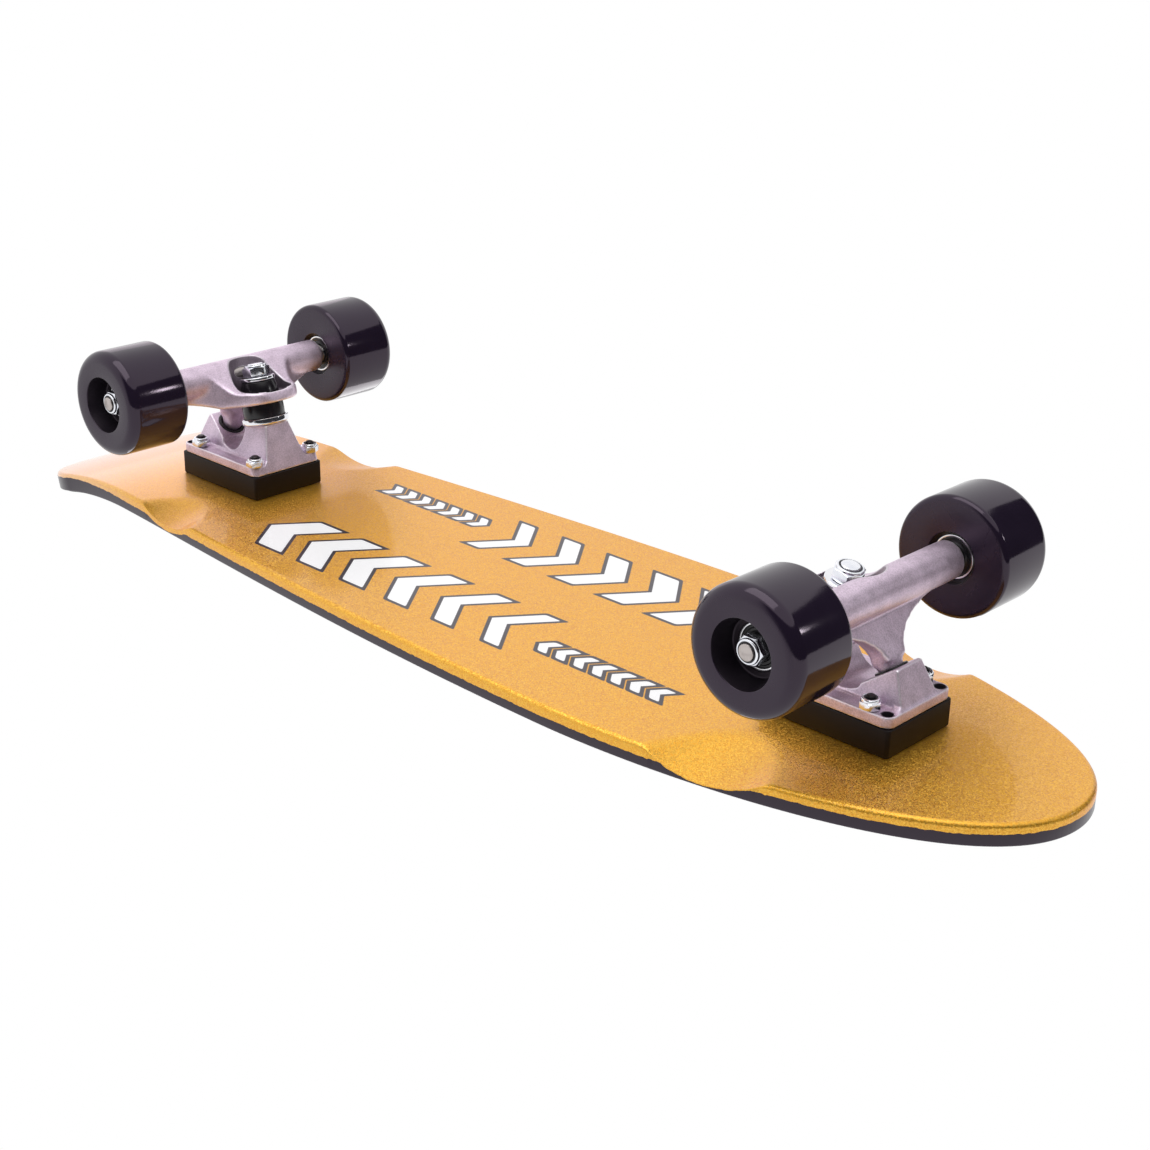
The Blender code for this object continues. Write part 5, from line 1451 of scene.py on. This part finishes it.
def truck_stock():
    """Each kind of truck piece: its mesh in a frame of its own, its finish and its slot."""
    aluminium = cast_aluminium()
    chrome = plain_metal("chrome", (0.90, 0.90, 0.93), (0.80, 0.80, 0.84), 0.05, 90.0, 0.1)
    zinc = plain_metal("bright_zinc", (0.92, 0.93, 0.97), (0.78, 0.80, 0.87), 0.15, 160.0, 0.25)
    steel = plain_metal("axle_steel", (0.55, 0.50, 0.48), (0.36, 0.32, 0.31), 0.3, 200.0, 0.3)
    races = plain_metal("bearing_steel", (0.88, 0.88, 0.90), (0.74, 0.74, 0.77), 0.1, 150.0, 0.1)
    oxide_tones = ((0.060, 0.052, 0.056), (0.022, 0.020, 0.022))
    oxide = plain_metal("black_oxide", *oxide_tones, 0.32, 240.0, 0.3)
    plastic = black_plastic("riser_plastic", (0.006, 0.003, 0.003), 0.42, 0.25, shine=0.25)
    rubber = black_plastic("seal_rubber", (0.010, 0.010, 0.012), 0.22, 0.1)
    flat_washer = washer(
        KINGPIN_HOLE_RADIUS, TOP_WASHER_RADIUS, TOP_WASHER_START, TOP_WASHER_THICKNESS,
        ROUND_SEGMENTS, edge=0.0006,
    )
    thin_washer = washer(
        AXLE_HOLE_RADIUS, SPEED_WASHER_RADIUS, 0.0, SPEED_WASHER_THICKNESS,
        FINE_SEGMENTS, edge=0.00015,
    )
    return {
        "riser": (riser(), plastic, "riser_black"),
        "baseplate": (baseplate(), aluminium, "cast_aluminium"),
        "hanger": (hanger(), aluminium, "cast_aluminium"),
        "kingpin": (kingpin(), zinc, "nut_zinc"),
        "mounting_bolt": (mount_bolt(), oxide, "bolt_black"),
        "lower_washer": (low_washer(), chrome, "washer_chrome"),
        "top_washer": (flat_washer, chrome, "washer_chrome"),
        "speed_washer": (thin_washer, zinc, "washer_chrome"),
        "axle": (axle(), steel, "axle_steel"),
        "wheel": (wheel(), wheel_urethane(), "wheel_black"),
        "bearing": (bearing(), races, "bearing_steel"),
        "shield": (bearing_shield(), rubber, "bearing_steel"),
        **soft_stock(),
        **nut_stock(zinc),
    }


class Truck:
    """One truck's place and names, and the stock that its pieces come from."""

    def __init__(self, stock, name, end):
        self.stock = stock
        self.name = name
        self.end = end
        self.place = truck_frame(end)
        self.pin = self.place @ KINGPIN_FRAME
        self.group = f"{name}_hanger_group"

    def fit(self, kind, name, place, body, *nodes):
        """One piece from the stock, in its place on a body."""
        mesh, finish, slot = self.stock[kind]
        nodes = [f"{self.name}_{node}" for node in nodes]
        piece(f"{self.name}_{name}", placed(mesh, place), finish, body, slot, *nodes)

    def dress_plate(self):
        """The pieces that stay with the board, from the riser to the nut on the kingpin."""
        nut_place = self.pin @ Matrix.Translation((0.0, 0.0, KINGPIN_NUT_START))
        for kind, name, place in (
            ("riser", "riser_block", self.place),
            ("baseplate", "baseplate_casting", self.place),
            ("pivot_cup", "pivot_cup_fine", self.place @ PIVOT_FRAME),
            ("kingpin", "kingpin_bolt", self.pin),
            ("lower_washer", "cupped_washer", self.pin),
            ("top_washer", "flat_washer", self.pin),
            ("kingpin_nut", "kingpin_lock_nut", nut_place),
        ):
            self.fit(kind, name, place, "board", kind)
        self.fit("kingpin_ring", "kingpin_lock_ring", nut_place, "board")

    def dress_mounting(self):
        for number, hole in enumerate(BOLT_PLACES, 1):
            at_hole = self.place @ Matrix.Translation(hole)
            seat = at_hole @ Matrix.Translation((0.0, 0.0, PLATE_THICKNESS + SEAT_GAP))
            for kind, place in (("mounting_bolt", at_hole), ("mounting_nut", seat)):
                self.fit(kind, f"{kind}_{number}_fine", place, "board", f"{kind}_{number}")
            self.fit("mounting_ring", f"mounting_ring_{number}", seat, "board")

    def dress_bushings(self):
        """Each bushing is given the board at its washer and the hanger at the yoke, with those
        points, but stays fixed in place.
        """
        low = ("board", self.group, LOW_WASHER_RIM, YOKE_UNDERSIDE)
        top = (self.group, "board", TOP_BUSHING_START, TOP_WASHER_START)
        for kind, name, (*bodies, start, end) in (
            ("lower_bushing", "barrel_bushing", low),
            ("top_bushing", "cone_bushing", top),
        ):
            bend = [self.pin @ Vector((0.0, 0.0, height)) for height in (start, end)]
            self.fit(kind, name, self.pin, (*bodies, *bend), kind)

    def dress_hanger(self):
        """The pieces that steer, apart from the wheels."""
        self.fit("hanger", "hanger_casting", self.place, self.group, "hanger")
        self.fit("axle", "axle_rod", self.place @ AXLE_FRAME, self.group, "axle")

    def dress_wheel(self, side):
        """One wheel with its bearings, washer and nut, on the side of +Y or -Y in the truck."""
        wheel_name = "left" if side * self.end < 0 else "right"
        spin = f"{self.name}_{wheel_name}_wheel_group"

        def on_axle(distance, facing=-1):
            out = Matrix.Translation((0.0, side * distance, 0.0))
            turn = Matrix.Rotation(side * facing * QUARTER, 4, "X")
            return self.place @ AXLE_PLACE @ out @ turn

        self.fit("wheel", f"{wheel_name}_tyre", on_axle(WHEEL_MIDDLE), spin, f"{wheel_name}_wheel")
        for where, place in (
            ("inner", on_axle(INNER_BEARING_START, facing=1)),
            ("outer", on_axle(OUTER_BEARING_START + BEARING_WIDTH)),
        ):
            node = f"{wheel_name}_{where}_bearing"
            self.fit("bearing", node + "_races", place, spin, node)
            self.fit("shield", node + "_shield", place, spin)
        nut_place = on_axle(AXLE_NUT_START)
        for kind, place in (("speed_washer", on_axle(OUTER_WASHER_START)), ("axle_nut", nut_place)):
            node = f"{wheel_name}_{kind}"
            self.fit(kind, node + "_fine", place, self.group, node)
        self.fit("axle_ring", f"{wheel_name}_axle_lock_ring", nut_place, self.group)


def dress_trucks():
    stock = truck_stock()
    for name, end in (("front", 1), ("rear", -1)):
        truck = Truck(stock, name, end)
        truck.dress_plate()
        truck.dress_mounting()
        truck.dress_bushings()
        truck.dress_hanger()
        for side in (1, -1):
            truck.dress_wheel(side)


def lamp(name, place, aim, size, power, colour=(1.0, 1.0, 1.0)):
    """A soft square lamp that shines from its place towards its aim."""
    light = bpy.data.lights.new(name, "AREA")
    light.size = size
    light.energy = power
    light.color = colour
    made = bpy.data.objects.new(name, light)
    bpy.context.scene.collection.objects.link(made)
    made.location = place
    made.rotation_euler = (Vector(aim) - Vector(place)).to_track_quat("-Z", "Y").to_euler()


def set_stage(name, mesh, finish, *unseen_by):
    """A piece of the studio, hidden from the kinds of ray named."""
    mesh.materials.append(finish.material)
    made = bpy.data.objects.new(name, mesh)
    for ray in unseen_by:
        setattr(made, "visible_" + ray, False)
    bpy.context.scene.collection.objects.link(made)


def white_air():
    """White for the camera, for reflections and through clear things, softer for plain light."""
    world = bpy.data.worlds.new("studio")
    bpy.context.scene.world = world
    world.use_nodes = True
    air = Finish("studio", world.node_tree)
    paths = air.node("LightPath").socket.node.outputs
    rays = [Signal(air, paths[f"Is {kind} Ray"]) for kind in ("Camera", "Glossy", "Transmission")]
    seen = air.clamp(rays[0] + rays[1] + rays[2])
    background = world.node_tree.nodes["Background"]
    air.feed(background.inputs["Color"], (1.0, 1.0, 1.0))
    air.feed(background.inputs["Strength"], seen * 0.45 + 0.55)


def pale_floor():
    """A plain floor that shows only from above, because the camera looks up through it."""
    finish = Finish("studio_floor")
    grain = finish.noise(finish.place(), 40.0)
    finish.wear(
        Base_Color=finish.colour(grain, (0.86, 0.86, 0.86), (0.88, 0.88, 0.88)), Roughness=0.9
    )
    finish.see_through(finish.node("NewGeometry", output="Backfacing"))
    bm = bmesh.new()
    bmesh.ops.create_grid(bm, x_segments=1, y_segments=1, size=4.0)
    set_stage("floor", finished(bm), finish, "diffuse", "glossy", "transmission", "shadow")


def dark_wall():
    """A dark curved wall behind the nose and the far side, seen only in reflections."""
    finish = Finish("studio_wall")
    place = finish.place()
    tone = finish.noise(place, 2.0)
    finish.wear(
        Base_Color=finish.colour(tone, (0.02, 0.02, 0.025), (0.03, 0.03, 0.035)), Roughness=0.9
    )
    x, y, _z = finish.axes(place)
    bearing_angle = finish.math("ARCTAN2", y, x)
    finish.see_through(
        finish.ramp(bearing_angle, math.radians(88.0), math.radians(110.0)) * (y > 0.0)
    )
    bm = bmesh.new()
    ends = [bm.verts.new((2.2, 0.0, height)) for height in (0.2, -1.7)]
    spun(bm, [*ends, bm.edges.new(ends)], math.radians(-190.0), 24, merge=False)
    mesh = finished(bm, place=Matrix.Rotation(math.radians(110.0), 4, "Z"))
    set_stage("dark_wall", mesh, finish, "camera", "diffuse", "transmission", "shadow")


def studio():
    white_air()
    pale_floor()
    dark_wall()
    lamp("overhead_softbox", (-0.1, 0.5, -1.5), (0.0, 0.0, 0.1), size=1.4, power=11.0)
    lamp("side_softbox", (1.3, -1.0, -0.6), (0.2, 0.0, 0.05), size=0.14, power=1.2)
    pink = {"colour": (1.0, 0.80, 0.95)}
    lamp("tail_softbox", (-1.39, -0.655, -0.306), (-0.34, 0.0, 0.09), size=0.6, power=0.5, **pink)
    lamp("ceiling_softbox", (-0.7, -0.9, 1.7), (0.0, 0.0, 0.05), size=1.4, power=14.0)


def camera():
    """The photograph's view: a fitted place and lens, below the floor, with the ground side up."""
    lens = bpy.data.cameras.new("camera")
    lens.sensor_width = 36.0
    lens.lens = 60.076
    lens.clip_start = 0.02
    made = bpy.data.objects.new("camera", lens)
    made.location = (0.70540, 0.67404, -0.30718)
    made.rotation_euler = [math.radians(angle) for angle in (-112.5682, 0.9511, -43.9126)]
    bpy.context.scene.collection.objects.link(made)
    bpy.context.scene.camera = made


bpy.context.scene.view_settings.view_transform = "Standard"
camera()
studio()
dress_board()
dress_trucks()
